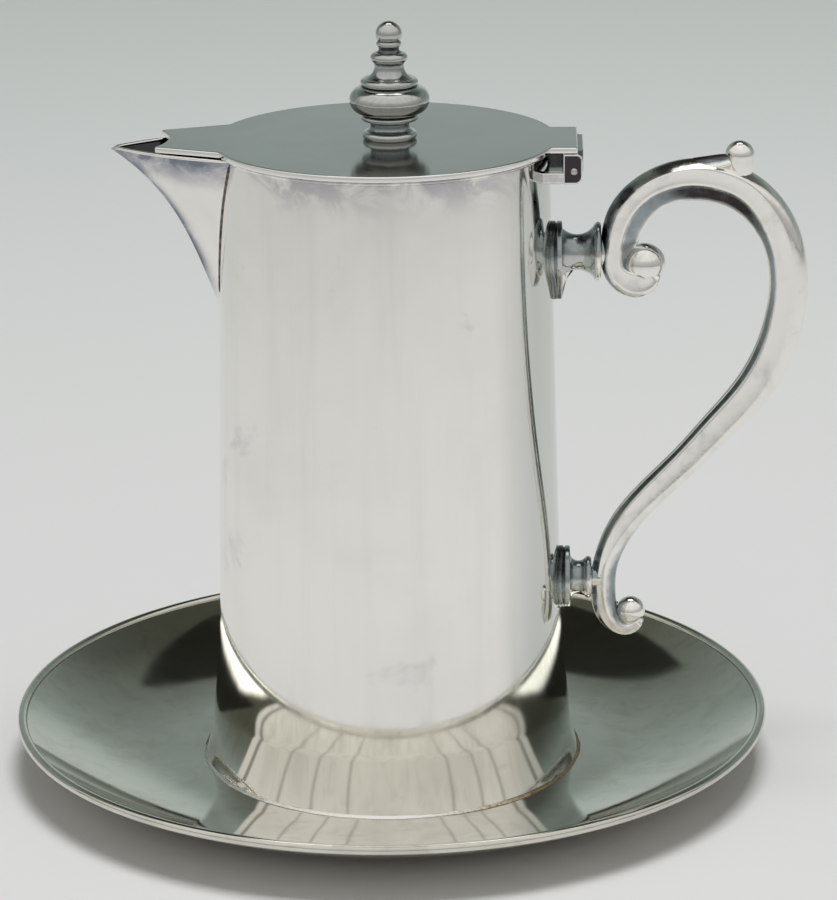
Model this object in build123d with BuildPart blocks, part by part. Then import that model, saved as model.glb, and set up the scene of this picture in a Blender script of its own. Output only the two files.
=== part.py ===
from build123d import *
import math
import os

# A silver-plated syrup pitcher with a hinged flat lid, standing on the underplate that it is soldered to.
# Millimetres. +Z is up, the origin is on the pitcher's axis at the height of the table,
# the spout points along -X, and the handle and the hinge are at +X.

os.makedirs("parts", exist_ok=True)

# Underplate
plate_radius = 73.0
plate_height = 11.0
plate_sheet = 1.0
well_border = 4.5
rim_wire_radius = 0.95

# Body tube with its flared foot
foot_radius = 36.5
ankle_radius = 34.6
ankle_height = 12.0
waist_radius = 33.1
waist_height = 30.0
mouth_radius = 30.8
mouth_height = 121.9
wall = 0.9
ankle_bow = 0.45
waist_bow = 0.22
base_thickness = 1.0
solder_width = 0.8
solder_height = 1.1
solder_hollow = (0.2, 0.45)
mouth_wire_height = 0.9
mouth_wire_bulge = 0.45
mouth_wire_end_gap = 0.1

# Spout
spout_reach = 20.8
spout_drop = 0.55
spout_depth = 31.0
spout_tip_angle = 44.0
spout_plan_radius = 50.7
spout_wall = 0.8
spout_root_share = 0.82
keel_straightness = 0.6
spout_levels = (0.03, 0.2, 0.4, 0.6, 0.75, 0.88, 1.0)

# Lid
lid_gap = 0.15
lid_radius = 32.4
lid_thickness = 1.05
lid_edge_round = 0.2
tongue_root = 29.8
tongue_reach = 12.8
tongue_root_half_width = 12.3
tongue_end_half_width = 7.4
tongue_notch = 2.1
hinge_tab_half_width = 9.2
hinge_tab_overhang = 0.7

# Hinge
pin_radius = 0.7
pin_drop = 3.45
pin_stand_off = 4.5
pin_head = 0.35
pin_end_round = 0.21
pin_clearance = 0.05
cheek_thickness = 1.9
cheek_reach = 1.6
cheek_width = 3.5
cheek_depth = 2.4
cheek_arm = 2.2
cheek_corner = 1.3
cheek_gap = 0.2
shelf_thickness = 0.7
shelf_gap = 1.3
knuckle_radius = 1.7
knuckle_gap = 0.25

# Finial: each rise is measured from the middle of the form below it, each form is rounded over a height
# on both sides of its middle, and its edges lie that far inside its largest radius
finial_offset = 1.0
finial_base_radius = 5.2
finial_base_height = 1.7
finial_base_edge = 0.6
finial_ring_radius = 5.45
finial_ring_rise = 2.35
finial_ring_edge = (0.6, 0.65)
finial_bulb_radius = 7.55
finial_bulb_rise = 3.15
finial_bulb_edge = (1.95, 1.95)
finial_shoulder_radius = 5.5
finial_shoulder_rise = 3.9
finial_shoulder_edge = (0.7, 0.7)
finial_collar_radius = 3.4
finial_collar_rise = 4.25
finial_collar_edge = (0.55, 0.87)
finial_bead_radius = 2.2
finial_bead_rise = 2.45
finial_bead_edge = (0.3, 0.6)
finial_ball_radius = 2.45
finial_ball_rise = 1.8
finial_ball_neck_angle = 33.0
finial_neck_depth = 1.3
stud_radius = 1.25
stud_length = 4.0
stud_clearance = 0.05
washer_radius = 3.4
washer_thickness = 0.5
nut_width = 5.0
nut_thickness = 1.8

# Handle mounts
upper_axis_drop = 20.9
post_spacing = 64.8
escutcheon_thickness = 0.8
upper_plate_radius = 5.9
upper_plate_tail = 9.2
tail_tip_radius = 0.8
lower_plate_radius = 6.1
post_plate_thickness = 1.1
post_shoulder = 1.2
post_waist_share = 0.38
tail_web_reach = 2.4
tail_web_thickness = 1.8
upper_waist_radius = 3.4
lower_waist_radius = 3.25
upper_collar_radius = 5.7
lower_collar_radius = 4.05
upper_collar_thickness = 1.1
lower_collar_thickness = 1.3
collar_lip = 0.35
collar_round_share = 0.45

# Handle
lower_stand_off = 6.03
upper_seat_advance = 1.5
seat_inset = 1.2
seat_depth = 2.6
upper_half_thickness = 3.5
lower_half_thickness = 2.3
upper_eye_radius = 3.85
lower_eye_radius = 2.8
thumb_ball_radius = 2.6
thumb_neck_radius = 2.3

# Centre line of the scroll from the lower curl to the upper one: distance out from the upper seat,
# height above the upper mount's axis, and half the width of the scroll there
scroll = [
    (8.1, -72.5, 0.9),
    (7.1, -74.2, 1.25),
    (4.9, -74.9, 1.5),
    (2.1, -73.0, 2.05),
    (0.8, -68.4, 2.4),
    (1.1, -62.4, 2.4),
    (3.9, -55.1, 2.7),
    (9.9, -47.5, 2.85),
    (16.7, -40.6, 2.95),
    (22.35, -34.3, 3.2),
    (28.35, -27.5, 3.6),
    (32.3, -20.7, 3.75),
    (34.7, -12.8, 3.75),
    (35.1, -2.3, 3.7),
    (32.3, 5.8, 3.85),
    (26.2, 11.9, 4.0),
    (17.0, 14.0, 4.05),
    (9.5, 11.8, 3.75),
    (5.0, 6.8, 3.9),
    (3.2, 1.5, 3.3),
    (2.5, -3.4, 2.1),
    (5.1, -6.5, 1.8),
    (8.6, -6.3, 1.7),
    (10.5, -4.5, 1.4),
    (11.3, -2.3, 0.9),
]
upper_eye = (8.3, -2.0)
lower_eye = (6.1, -71.65)
thumb_ball = (25.8, 18.8)
thumb_root = (25.4, 13.1)

well_radius = foot_radius + well_border
upper_axis_z = mouth_height - upper_axis_drop
lower_axis_z = upper_axis_z - post_spacing
lid_bottom = mouth_height + lid_gap
lid_top = lid_bottom + lid_thickness
spout_top = mouth_height - spout_drop
pin_x = mouth_radius + pin_stand_off
pin_z = lid_bottom - pin_drop


def body_radius(height):
    """Outer radius of the straight taper between the waist and the mouth."""
    share = (height - waist_height) / (mouth_height - waist_height)
    return waist_radius + (mouth_radius - waist_radius) * share


def tube_half_section(inset):
    """Half section of the filled tube: a foot that flares in two bowed stretches under a straight taper."""
    foot = (foot_radius - inset, plate_sheet)
    ankle = (ankle_radius - inset, ankle_height)
    waist = (waist_radius - inset, waist_height)
    mouth = (mouth_radius - inset, mouth_height)
    below = ((foot[0] + ankle[0]) / 2 - ankle_bow, (foot[1] + ankle[1]) / 2)
    above = ((ankle[0] + waist[0]) / 2 - waist_bow, (ankle[1] + waist[1]) / 2)
    with BuildSketch(Plane.XZ) as section:
        with BuildLine():
            Line((0, plate_sheet), foot)
            ThreePointArc(foot, below, ankle)
            ThreePointArc(ankle, above, waist)
            Polyline(waist, mouth, (0, mouth_height), (0, plate_sheet))
        make_face()
    return section.sketch


def spout_side(height, inset):
    """Tip of the keel and centre and radius of the bowed far side of the spout, in plan at one height."""
    rise = (height - spout_top + spout_depth) / spout_depth
    reach = spout_reach * (keel_straightness * rise + (1 - keel_straightness) * rise**4)
    angle = math.radians(spout_tip_angle)
    radius = spout_plan_radius - inset
    tip_x = -body_radius(height) - reach + inset / math.sin(angle)
    return tip_x, tip_x + radius * math.sin(angle), -radius * math.cos(angle), radius


def spout_section(height, inset):
    """Plan of the spout at one height: two bowed sides that meet at the keel, closed inside the tube."""
    tip_x, centre_x, centre_y, radius = spout_side(height, inset)
    inner_x = -spout_root_share * mouth_radius
    start = math.atan2(-centre_y, tip_x - centre_x)
    end = math.acos((inner_x - centre_x) / radius)
    middle = (start + end) / 2
    tip = (tip_x, 0)
    bow = (centre_x + radius * math.cos(middle), centre_y + radius * math.sin(middle))
    root = (inner_x, centre_y + radius * math.sin(end))
    with BuildSketch(Plane.XY.offset(height)) as section:
        with BuildLine():
            ThreePointArc(tip, bow, root)
            Line(root, (root[0], -root[1]))
            ThreePointArc((root[0], -root[1]), (bow[0], -bow[1]), tip)
        make_face()
    return section.sketch


# Solids that only cut or fit others: the filled tube, its inside, and the spout filled up and its inside
with BuildPart() as tube_solid:
    add(tube_half_section(0))
    revolve(axis=Axis.Z)

with BuildPart() as tube_inside:
    add(tube_half_section(wall))
    revolve(axis=Axis.Z)

spout_heights = [spout_top - spout_depth * (1 - level) for level in spout_levels]

with BuildPart() as spout_solid:
    for height in spout_heights:
        add(spout_section(height, 0))
    loft()
    add(spout_section(spout_top, 0))
    extrude(amount=spout_drop)

with BuildPart() as spout_inside:
    for height in spout_heights:
        add(spout_section(height, spout_wall))
    loft()
    add(spout_section(spout_top, spout_wall))
    extrude(amount=spout_drop)

# The underplate: a flat well that turns up in one arc, with its edge hollowed for the rim wire
rim_z = plate_height - rim_wire_radius
rim_x = plate_radius - rim_wire_radius
slope_run = rim_x - well_radius
slope_rise = rim_z - plate_sheet / 2
bowl_radius = (slope_run**2 + slope_rise**2) / (2 * slope_rise)
bowl_angle = math.degrees(math.asin(slope_run / bowl_radius))
bowl_centre = (well_radius, plate_sheet / 2 + bowl_radius)
with BuildPart() as underplate:
    with BuildSketch(Plane.XZ):
        with BuildLine():
            Line((0, 0), (well_radius, 0))
            under = CenterArc(bowl_centre, bowl_radius + plate_sheet / 2, -90, bowl_angle)
            top = CenterArc(bowl_centre, bowl_radius - plate_sheet / 2, -90, bowl_angle)
            Line(under @ 1, top @ 1)
            Polyline((well_radius, plate_sheet), (0, plate_sheet), (0, 0))
        make_face()
        with Locations((rim_x, rim_z)):
            Circle(rim_wire_radius, mode=Mode.SUBTRACT)
    revolve(axis=Axis.Z)
underplate.part.label = "underplate"
export_step(underplate.part, "parts/underplate.step")

with BuildPart() as underplate_rim_wire:
    with BuildSketch(Plane.XZ):
        with Locations((rim_x, rim_z)):
            Circle(rim_wire_radius)
    revolve(axis=Axis.Z)
underplate_rim_wire.part.label = "underplate_rim_wire"
export_step(underplate_rim_wire.part, "parts/underplate_rim_wire.step")

# The body tube, open at both ends and cut through behind the spout
with BuildPart() as body_shell:
    add(tube_solid.part)
    add(tube_inside.part, mode=Mode.SUBTRACT)
    add(spout_inside.part, mode=Mode.SUBTRACT)
body_shell.part.label = "body_shell"
export_step(body_shell.part, "parts/body_shell.step")

# The bottom of the vessel, a disc let into the tube just above the flare of the foot
with BuildPart() as body_base:
    with BuildSketch(Plane.XY.offset(ankle_height)):
        Circle(foot_radius)
    extrude(amount=base_thickness)
    add(tube_inside.part, mode=Mode.INTERSECT)
body_base.part.label = "body_base"
export_step(body_base.part, "parts/body_base.step")

# Solder round the foot, a hollow fillet between the foot and the well
with BuildPart() as foot_solder_ring:
    with BuildSketch(Plane.XZ):
        with BuildLine():
            toe = (foot_radius + solder_width, plate_sheet)
            heel = (foot_radius - wall / 2, plate_sheet)
            crest = (foot_radius - wall / 2, plate_sheet + solder_height)
            hollow = (foot_radius + solder_hollow[0], plate_sheet + solder_hollow[1])
            ThreePointArc(toe, hollow, crest)
            Polyline(crest, heel, toe)
        make_face()
    revolve(axis=Axis.Z)
    add(tube_solid.part, mode=Mode.SUBTRACT)
foot_solder_ring.part.label = "foot_solder_ring"
export_step(foot_solder_ring.part, "parts/foot_solder_ring.step")

# The bracket: two cheeks with a shelf between them, soldered to the tube under the hinge tab
cheek_top = lid_bottom - cheek_gap
cheek_bottom = pin_z - cheek_depth
cheek_end = pin_x + cheek_reach
cheek_back = cheek_end - cheek_width
bracket_back = mouth_radius - 2 * wall
inner_half_width = hinge_tab_half_width - cheek_thickness
with BuildPart() as hinge_bracket:
    with BuildSketch(Plane.XZ.offset(-hinge_tab_half_width)):
        with BuildLine():
            Polyline(
                (bracket_back, cheek_bottom),
                (cheek_end, cheek_bottom),
                (cheek_end, cheek_top),
                (cheek_back, cheek_top),
                (cheek_back, cheek_bottom + cheek_arm),
                (bracket_back, cheek_bottom + cheek_arm),
                (bracket_back, cheek_bottom),
            )
        make_face()
        fillet(vertices().group_by(Axis.X)[-1], cheek_corner)
        with Locations((pin_x, pin_z)):
            Circle(pin_radius, mode=Mode.SUBTRACT)
    extrude(amount=2 * hinge_tab_half_width)
    with BuildSketch(Plane.XY.offset(cheek_bottom + shelf_thickness)):
        with Locations((pin_x, 0)):
            Rectangle(4 * pin_stand_off, 2 * inner_half_width)
    extrude(amount=2 * pin_drop, mode=Mode.SUBTRACT)
    with BuildSketch(Plane.XY.offset(cheek_bottom)):
        with Locations((pin_x - shelf_gap, 0)):
            Rectangle(4 * pin_stand_off, 2 * inner_half_width, align=(Align.MIN, Align.CENTER))
    extrude(amount=shelf_thickness, mode=Mode.SUBTRACT)
    add(tube_solid.part, mode=Mode.SUBTRACT)
hinge_bracket.part.label = "hinge_bracket"
export_step(hinge_bracket.part, "parts/hinge_bracket.step")

# A half-round wire soldered round the outside of the mouth from one side of the spout to the other
side_x, side_y, side_radius = spout_side(spout_top, 0)[1:]
side_distance = math.hypot(side_x, side_y)
meeting = (mouth_radius**2 + side_distance**2 - side_radius**2) / (2 * mouth_radius * side_distance)
spout_angle = math.degrees(math.atan2(side_y, side_x)) % 360 - math.degrees(math.acos(meeting))
wire_gap_angle = math.radians(180 - spout_angle) + mouth_wire_end_gap / mouth_radius
wire_bottom = mouth_height - mouth_wire_height
with BuildPart() as body_rim_wire:
    with BuildSketch(Plane.XZ):
        with BuildLine():
            wire_inner = Line((body_radius(wire_bottom), wire_bottom), (mouth_radius, mouth_height))
            crown = (mouth_radius + mouth_wire_bulge, mouth_height - mouth_wire_height / 2)
            ThreePointArc(wire_inner @ 0, crown, wire_inner @ 1)
        make_face()
    revolve(axis=Axis.Z)
    with BuildSketch(Plane.XY.offset(wire_bottom - mouth_wire_height)):
        gap_end_x = -2 * mouth_radius
        gap_half_width = 2 * mouth_radius * math.tan(wire_gap_angle)
        with BuildLine():
            Polyline((0, 0), (gap_end_x, gap_half_width), (gap_end_x, -gap_half_width), (0, 0))
        make_face()
    extrude(amount=3 * mouth_wire_height, mode=Mode.SUBTRACT)
body_rim_wire.part.label = "body_rim_wire"
export_step(body_rim_wire.part, "parts/body_rim_wire.step")

# The spout, a keeled sheet whose edges meet the tube
with BuildPart() as spout:
    add(spout_solid.part)
    add(spout_inside.part, mode=Mode.SUBTRACT)
    add(tube_solid.part, mode=Mode.SUBTRACT)
    split(bisect_by=Plane.XY.offset(spout_top), keep=Keep.BOTTOM)
spout.part.label = "spout"
export_step(spout.part, "parts/spout.step")

# The lid plate: a disc with a notched tongue over the spout and a square tab over the hinge
tongue_end = tongue_root + tongue_reach
with BuildPart() as lid_plate:
    with BuildSketch(Plane.XY.offset(lid_bottom)):
        Circle(lid_radius)
        with BuildLine():
            Polyline(
                (0, -tongue_root_half_width),
                (0, tongue_root_half_width),
                (-tongue_root, tongue_root_half_width),
                (-tongue_end, tongue_end_half_width),
            )
            ThreePointArc(
                (-tongue_end, tongue_end_half_width),
                (-tongue_end + tongue_notch, 0),
                (-tongue_end, -tongue_end_half_width),
            )
            Polyline(
                (-tongue_end, -tongue_end_half_width),
                (-tongue_root, -tongue_root_half_width),
                (0, -tongue_root_half_width),
            )
        make_face()
        Rectangle(pin_x + hinge_tab_overhang, 2 * hinge_tab_half_width, align=(Align.MIN, Align.CENTER))
    extrude(amount=lid_thickness)
    fillet(lid_plate.faces().sort_by(Axis.Z)[-1].edges(), lid_edge_round)
    with Locations((finial_offset, 0, lid_top)):
        Hole(stud_radius + stud_clearance)
lid_plate.part.label = "lid_plate"
export_step(lid_plate.part, "parts/lid_plate.step")

# The lid's knuckle: a barrel on the pin, joined to the underside of the tab
knuckle_half_width = inner_half_width - knuckle_gap
with BuildPart() as lid_knuckle:
    with BuildSketch(Plane.XZ.offset(-knuckle_half_width)):
        with Locations((pin_x, pin_z)):
            Circle(knuckle_radius)
            Rectangle(2 * knuckle_radius, pin_drop, align=(Align.CENTER, Align.MIN))
            Circle(pin_radius + pin_clearance, mode=Mode.SUBTRACT)
    extrude(amount=2 * knuckle_half_width)
lid_knuckle.part.label = "lid_knuckle"
export_step(lid_knuckle.part, "parts/lid_knuckle.step")

# The pin through both cheeks, with rounded ends that stand a little proud
pin_half_length = hinge_tab_half_width + pin_head
with BuildPart() as hinge_pin:
    with BuildSketch(Plane.XZ.offset(-pin_half_length)):
        with Locations((pin_x, pin_z)):
            Circle(pin_radius)
    extrude(amount=2 * pin_half_length)
    fillet(hinge_pin.edges().filter_by(GeomType.CIRCLE), pin_end_round)
hinge_pin.part.label = "hinge_pin"
export_step(hinge_pin.part, "parts/hinge_pin.step")

# The turned finial: rings, a bulb and a ball over a base ring, with a stud down through the lid
ring_z = lid_top + finial_base_height + finial_ring_rise
bulb_z = ring_z + finial_bulb_rise
shoulder_z = bulb_z + finial_shoulder_rise
collar_z = shoulder_z + finial_collar_rise
bead_z = collar_z + finial_bead_rise
ball_z = bead_z + finial_ball_rise
neck_angle = math.radians(finial_ball_neck_angle)
base_edge = (finial_base_radius, lid_top + finial_base_height - finial_base_edge)
base_over = (finial_base_radius - finial_base_edge, lid_top + finial_base_height)
ring_under = (finial_ring_radius - finial_ring_edge[0], ring_z - finial_ring_edge[1])
ring_over = (finial_ring_radius - finial_ring_edge[0], ring_z + finial_ring_edge[1])
base_neck = (finial_base_radius - finial_neck_depth, (base_over[1] + ring_under[1]) / 2)
bulb_under = (finial_bulb_radius - finial_bulb_edge[0], bulb_z - finial_bulb_edge[1])
bulb_over = (finial_bulb_radius - finial_bulb_edge[0], bulb_z + finial_bulb_edge[1])
shoulder_under = (finial_shoulder_radius - finial_shoulder_edge[0], shoulder_z - finial_shoulder_edge[1])
shoulder_over = (finial_shoulder_radius - finial_shoulder_edge[0], shoulder_z + finial_shoulder_edge[1])
collar_neck = (finial_collar_radius - finial_collar_edge[0], (shoulder_z + collar_z) / 2)
collar_under = (finial_collar_radius - finial_collar_edge[0], collar_z - finial_collar_edge[1])
collar_over = (finial_collar_radius - finial_collar_edge[0], collar_z + finial_collar_edge[1])
bead_under = (finial_bead_radius - finial_bead_edge[0], bead_z - finial_bead_edge[1])
bead_over = (finial_ball_radius * math.cos(neck_angle), ball_z - finial_ball_radius * math.sin(neck_angle))
with BuildPart() as finial:
    with BuildSketch(Plane.XZ):
        with BuildLine():
            Polyline(
                (0, lid_top - stud_length),
                (stud_radius, lid_top - stud_length),
                (stud_radius, lid_top),
                (finial_base_radius, lid_top),
                base_edge,
                base_over,
            )
            ThreePointArc(base_over, base_neck, ring_under)
            ThreePointArc(ring_under, (finial_ring_radius, ring_z), ring_over)
            Line(ring_over, bulb_under)
            ThreePointArc(bulb_under, (finial_bulb_radius, bulb_z), bulb_over)
            Line(bulb_over, shoulder_under)
            ThreePointArc(shoulder_under, (finial_shoulder_radius, shoulder_z), shoulder_over)
            ThreePointArc(shoulder_over, collar_neck, collar_under)
            ThreePointArc(collar_under, (finial_collar_radius, collar_z), collar_over)
            Line(collar_over, bead_under)
            ThreePointArc(bead_under, (finial_bead_radius, bead_z), bead_over)
            CenterArc((0, ball_z), finial_ball_radius, -finial_ball_neck_angle, 90 + finial_ball_neck_angle)
            Line((0, ball_z + finial_ball_radius), (0, lid_top - stud_length))
        make_face()
    revolve(axis=Axis.Z)
finial.part.position = (finial_offset, 0, 0)
finial.part.label = "finial"
export_step(finial.part, "parts/finial.step")

# Washer and nut that hold the finial from under the lid
with BuildPart() as finial_washer:
    with BuildSketch(Plane.XY.offset(lid_bottom - washer_thickness)):
        with Locations((finial_offset, 0)):
            Circle(washer_radius)
            Circle(stud_radius + stud_clearance, mode=Mode.SUBTRACT)
    extrude(amount=washer_thickness)
finial_washer.part.label = "finial_washer"
export_step(finial_washer.part, "parts/finial_washer.step")

with BuildPart() as finial_nut:
    with BuildSketch(Plane.XY.offset(lid_bottom - washer_thickness - nut_thickness)):
        with Locations((finial_offset, 0)):
            RegularPolygon(nut_width / 2, 6, major_radius=False)
            Circle(stud_radius + stud_clearance, mode=Mode.SUBTRACT)
    extrude(amount=nut_thickness)
finial_nut.part.label = "finial_nut"
export_step(finial_nut.part, "parts/finial_nut.step")

# The scroll handle: a tapering scroll with a ball in each curl, a thumb ball on top and two flat seats
lower_seat_x = body_radius(lower_axis_z) + lower_stand_off
seat_x = lower_seat_x + upper_seat_advance
scroll_points = [Vector(seat_x + out, 0, upper_axis_z + up) for out, up, half_width in scroll]
centre_line = Spline(*scroll_points)
with BuildPart() as handle:
    for point, (out, up, half_width) in zip(scroll_points, scroll):
        along = centre_line % centre_line.param_at_point(point)
        share = min(max(1 + up / post_spacing, 0), 1)
        half_thickness = lower_half_thickness * (1 - share) + upper_half_thickness * share
        with BuildSketch(Plane(origin=point, x_dir=(0, 1, 0), z_dir=along)):
            Ellipse(half_thickness, half_width)
    loft()
    for eye, radius in ((upper_eye, upper_eye_radius), (lower_eye, lower_eye_radius)):
        with Locations((seat_x + eye[0], 0, upper_axis_z + eye[1])):
            Sphere(radius)
    thumb_place = Vector(seat_x + thumb_ball[0], 0, upper_axis_z + thumb_ball[1])
    thumb_foot = Vector(seat_x + thumb_root[0], 0, upper_axis_z + thumb_root[1])
    with Locations(thumb_place):
        Sphere(thumb_ball_radius)
    for place, radius in ((thumb_foot, upper_half_thickness), (thumb_place, thumb_neck_radius)):
        with BuildSketch(Plane(origin=place, z_dir=thumb_place - thumb_foot)):
            Circle(radius)
    loft()
    with BuildSketch(Plane.YZ.offset(seat_x)):
        with Locations((0, upper_axis_z)):
            Circle(upper_collar_radius - seat_inset)
    extrude(amount=seat_depth)
    with BuildSketch(Plane.YZ.offset(lower_seat_x)):
        with Locations((0, lower_axis_z)):
            Circle(lower_collar_radius - seat_inset / 2)
    extrude(amount=seat_depth)
    with BuildSketch(Plane.YZ.offset(seat_x)):
        with Locations((0, upper_axis_z)):
            Circle(upper_collar_radius + seat_inset)
    extrude(amount=-seat_depth, mode=Mode.SUBTRACT)
    with BuildSketch(Plane.YZ.offset(lower_seat_x)):
        with Locations((0, lower_axis_z)):
            Circle(lower_collar_radius + seat_inset)
    extrude(amount=-seat_depth, mode=Mode.SUBTRACT)
handle.part.label = "handle"
export_step(handle.part, "parts/handle.step")


def mount_outline(x, height, radius, tail):
    """Outline of a mount plate on a plane across the X axis: round, or drop-shaped where it has a tail."""
    with BuildSketch(Plane.YZ.offset(x)) as outline:
        with Locations((0, height)):
            Circle(radius)
        if tail > 0:
            with Locations((0, height - tail + tail_tip_radius)):
                Circle(tail_tip_radius)
            make_hull()
    return outline.sketch


# The filled tube grown by the thickness of an escutcheon
with BuildPart() as tube_padded:
    add(tube_half_section(-escutcheon_thickness))
    revolve(axis=Axis.Z)

mounts = {
    "upper": (
        (upper_axis_z, seat_x),
        (upper_plate_radius, upper_plate_tail, upper_waist_radius),
        (upper_collar_radius, upper_collar_thickness),
    ),
    "lower": (
        (lower_axis_z, lower_seat_x),
        (lower_plate_radius, 0, lower_waist_radius),
        (lower_collar_radius, lower_collar_thickness),
    ),
}
for side, (place, post_sizes, collar_sizes) in mounts.items():
    height, end_x = place
    radius, tail, waist = post_sizes
    collar_radius, collar_thickness = collar_sizes
    tube_x = body_radius(height)
    plate_x = tube_x + escutcheon_thickness
    neck_x = plate_x + post_plate_thickness
    collar_x = end_x - collar_thickness
    across = Axis((0, 0, height), (1, 0, 0))

    # The escutcheon, a curved plate soldered to the tube
    with BuildPart() as escutcheon:
        add(mount_outline(tube_x - 2 * wall, height, radius, tail))
        extrude(amount=2 * wall + 2 * escutcheon_thickness, dir=(1, 0, 0))
        add(tube_padded.part, mode=Mode.INTERSECT)
        add(tube_solid.part, mode=Mode.SUBTRACT)
    escutcheon.part.label = side + "_escutcheon"
    export_step(escutcheon.part, "parts/" + side + "_escutcheon.step")

    # The turned post, with a flat plate on the escutcheon, a waist and a flared end
    with BuildPart() as post:
        add(mount_outline(plate_x, height, radius, tail))
        extrude(amount=post_plate_thickness, dir=(1, 0, 0))
        with BuildSketch(Plane.XZ):
            with BuildLine():
                start = (neck_x, height + waist + post_shoulder)
                middle = (neck_x + post_waist_share * (collar_x - neck_x), height + waist)
                finish = (collar_x, height + collar_radius - collar_lip)
                ThreePointArc(start, middle, finish)
                Polyline(finish, (collar_x, height), (neck_x, height), start)
            make_face()
        revolve(axis=across)
        if tail > 0:
            with BuildSketch(Plane.XZ):
                with BuildLine():
                    Polyline(
                        (neck_x, height),
                        (neck_x, height - tail + tail_tip_radius),
                        (neck_x + tail_web_reach, height - waist),
                        (neck_x + tail_web_reach, height),
                        (neck_x, height),
                    )
                make_face()
            extrude(amount=tail_web_thickness / 2, both=True)
        add(tube_padded.part, mode=Mode.SUBTRACT)
    post.part.label = side + "_handle_post"
    export_step(post.part, "parts/" + side + "_handle_post.step")

    # The collar between the post and the handle
    with BuildPart() as collar:
        with BuildSketch(Plane.YZ.offset(collar_x)):
            with Locations((0, height)):
                Circle(collar_radius)
        extrude(amount=collar_thickness)
        fillet(collar.edges(), collar_round_share * collar_thickness)
    collar.part.label = side + "_handle_collar"
    export_step(collar.part, "parts/" + side + "_handle_collar.step")
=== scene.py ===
import math

import bpy
import numpy as np
from mathutils import Matrix, Vector


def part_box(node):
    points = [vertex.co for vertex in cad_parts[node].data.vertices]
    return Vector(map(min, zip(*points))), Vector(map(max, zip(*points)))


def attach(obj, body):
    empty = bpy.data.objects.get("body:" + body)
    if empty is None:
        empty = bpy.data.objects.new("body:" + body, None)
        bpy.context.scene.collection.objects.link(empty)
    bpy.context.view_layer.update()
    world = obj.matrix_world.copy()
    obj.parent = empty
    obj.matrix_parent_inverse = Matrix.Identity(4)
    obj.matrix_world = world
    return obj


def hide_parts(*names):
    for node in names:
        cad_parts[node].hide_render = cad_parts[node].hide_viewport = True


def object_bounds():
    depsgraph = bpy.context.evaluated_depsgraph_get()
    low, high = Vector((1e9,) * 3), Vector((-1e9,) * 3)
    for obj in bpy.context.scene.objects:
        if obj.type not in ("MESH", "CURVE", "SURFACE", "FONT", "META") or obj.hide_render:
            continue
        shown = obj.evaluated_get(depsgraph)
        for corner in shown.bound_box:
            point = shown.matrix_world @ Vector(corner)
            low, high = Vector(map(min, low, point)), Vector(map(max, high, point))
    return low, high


# A silver-plated syrup pitcher on its underplate. Every visible sheet, wire and casting is worked out here
# as a smooth surface, because polished metal shows each facet. Lengths are in metres, MM turns
# millimetres into them, and the main sizes come from the boxes of the fixed frame.
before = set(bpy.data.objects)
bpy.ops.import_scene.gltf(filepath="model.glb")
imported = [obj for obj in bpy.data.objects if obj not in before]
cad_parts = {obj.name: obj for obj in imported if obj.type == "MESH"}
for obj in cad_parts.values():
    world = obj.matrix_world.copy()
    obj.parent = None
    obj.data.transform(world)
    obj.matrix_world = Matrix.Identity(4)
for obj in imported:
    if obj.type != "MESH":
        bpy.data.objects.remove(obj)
cad_low, cad_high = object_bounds()
MM = 0.001


def span(node):
    """Lowest and highest corner of a node of the frame, as arrays."""
    low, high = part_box(node)
    return np.array(low), np.array(high)


# Main sizes, read from the frame
wire_low, wire_high = span("underplate_rim_wire")
plate_radius = -cad_low[0]
plate_height = wire_high[2]
rim_wire_radius = (wire_high[2] - wire_low[2]) / 2
shell_low, shell_high = span("body_shell")
plate_sheet = shell_low[2]
foot_radius = shell_high[1]
mouth_height = shell_high[2]
ankle_height = span("body_base")[0][2]
lid_low, lid_high = span("lid_plate")
lid_bottom, lid_top = lid_low[2], lid_high[2]
lid_radius = lid_high[1]
tongue_end = -lid_low[0]
tab_end = lid_high[0]
spout_low, spout_high = span("spout")
spout_top = spout_high[2]
finial_low, finial_high = span("finial")
finial_x = (finial_low[0] + finial_high[0]) / 2
bracket_low, bracket_high = span("hinge_bracket")
pin_low, pin_high = span("hinge_pin")
pin_x = (pin_low[0] + pin_high[0]) / 2
pin_z = (pin_low[2] + pin_high[2]) / 2
pin_radius = (pin_high[2] - pin_low[2]) / 2
tab_half_width = bracket_high[1]

# Shape of the tube and the dish, as in the solids
well_radius = foot_radius + 4.5 * MM
ankle_radius = foot_radius - 1.9 * MM
waist_radius = foot_radius - 3.4 * MM
waist_height = 30.0 * MM
mouth_radius = 30.8 * MM
wall = 0.9 * MM
ankle_bow = 0.45 * MM
waist_bow = 0.22 * MM

# Shape of the spout, as in the solids
spout_depth = 31.0 * MM
spout_wall = 0.8 * MM
spout_reach = -spout_low[0] - mouth_radius
tip_angle = math.radians(44)
side_radius = 50.7 * MM
keel_straightness = 0.6


# Meshes: grids of points, with closed seams and poles

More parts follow.
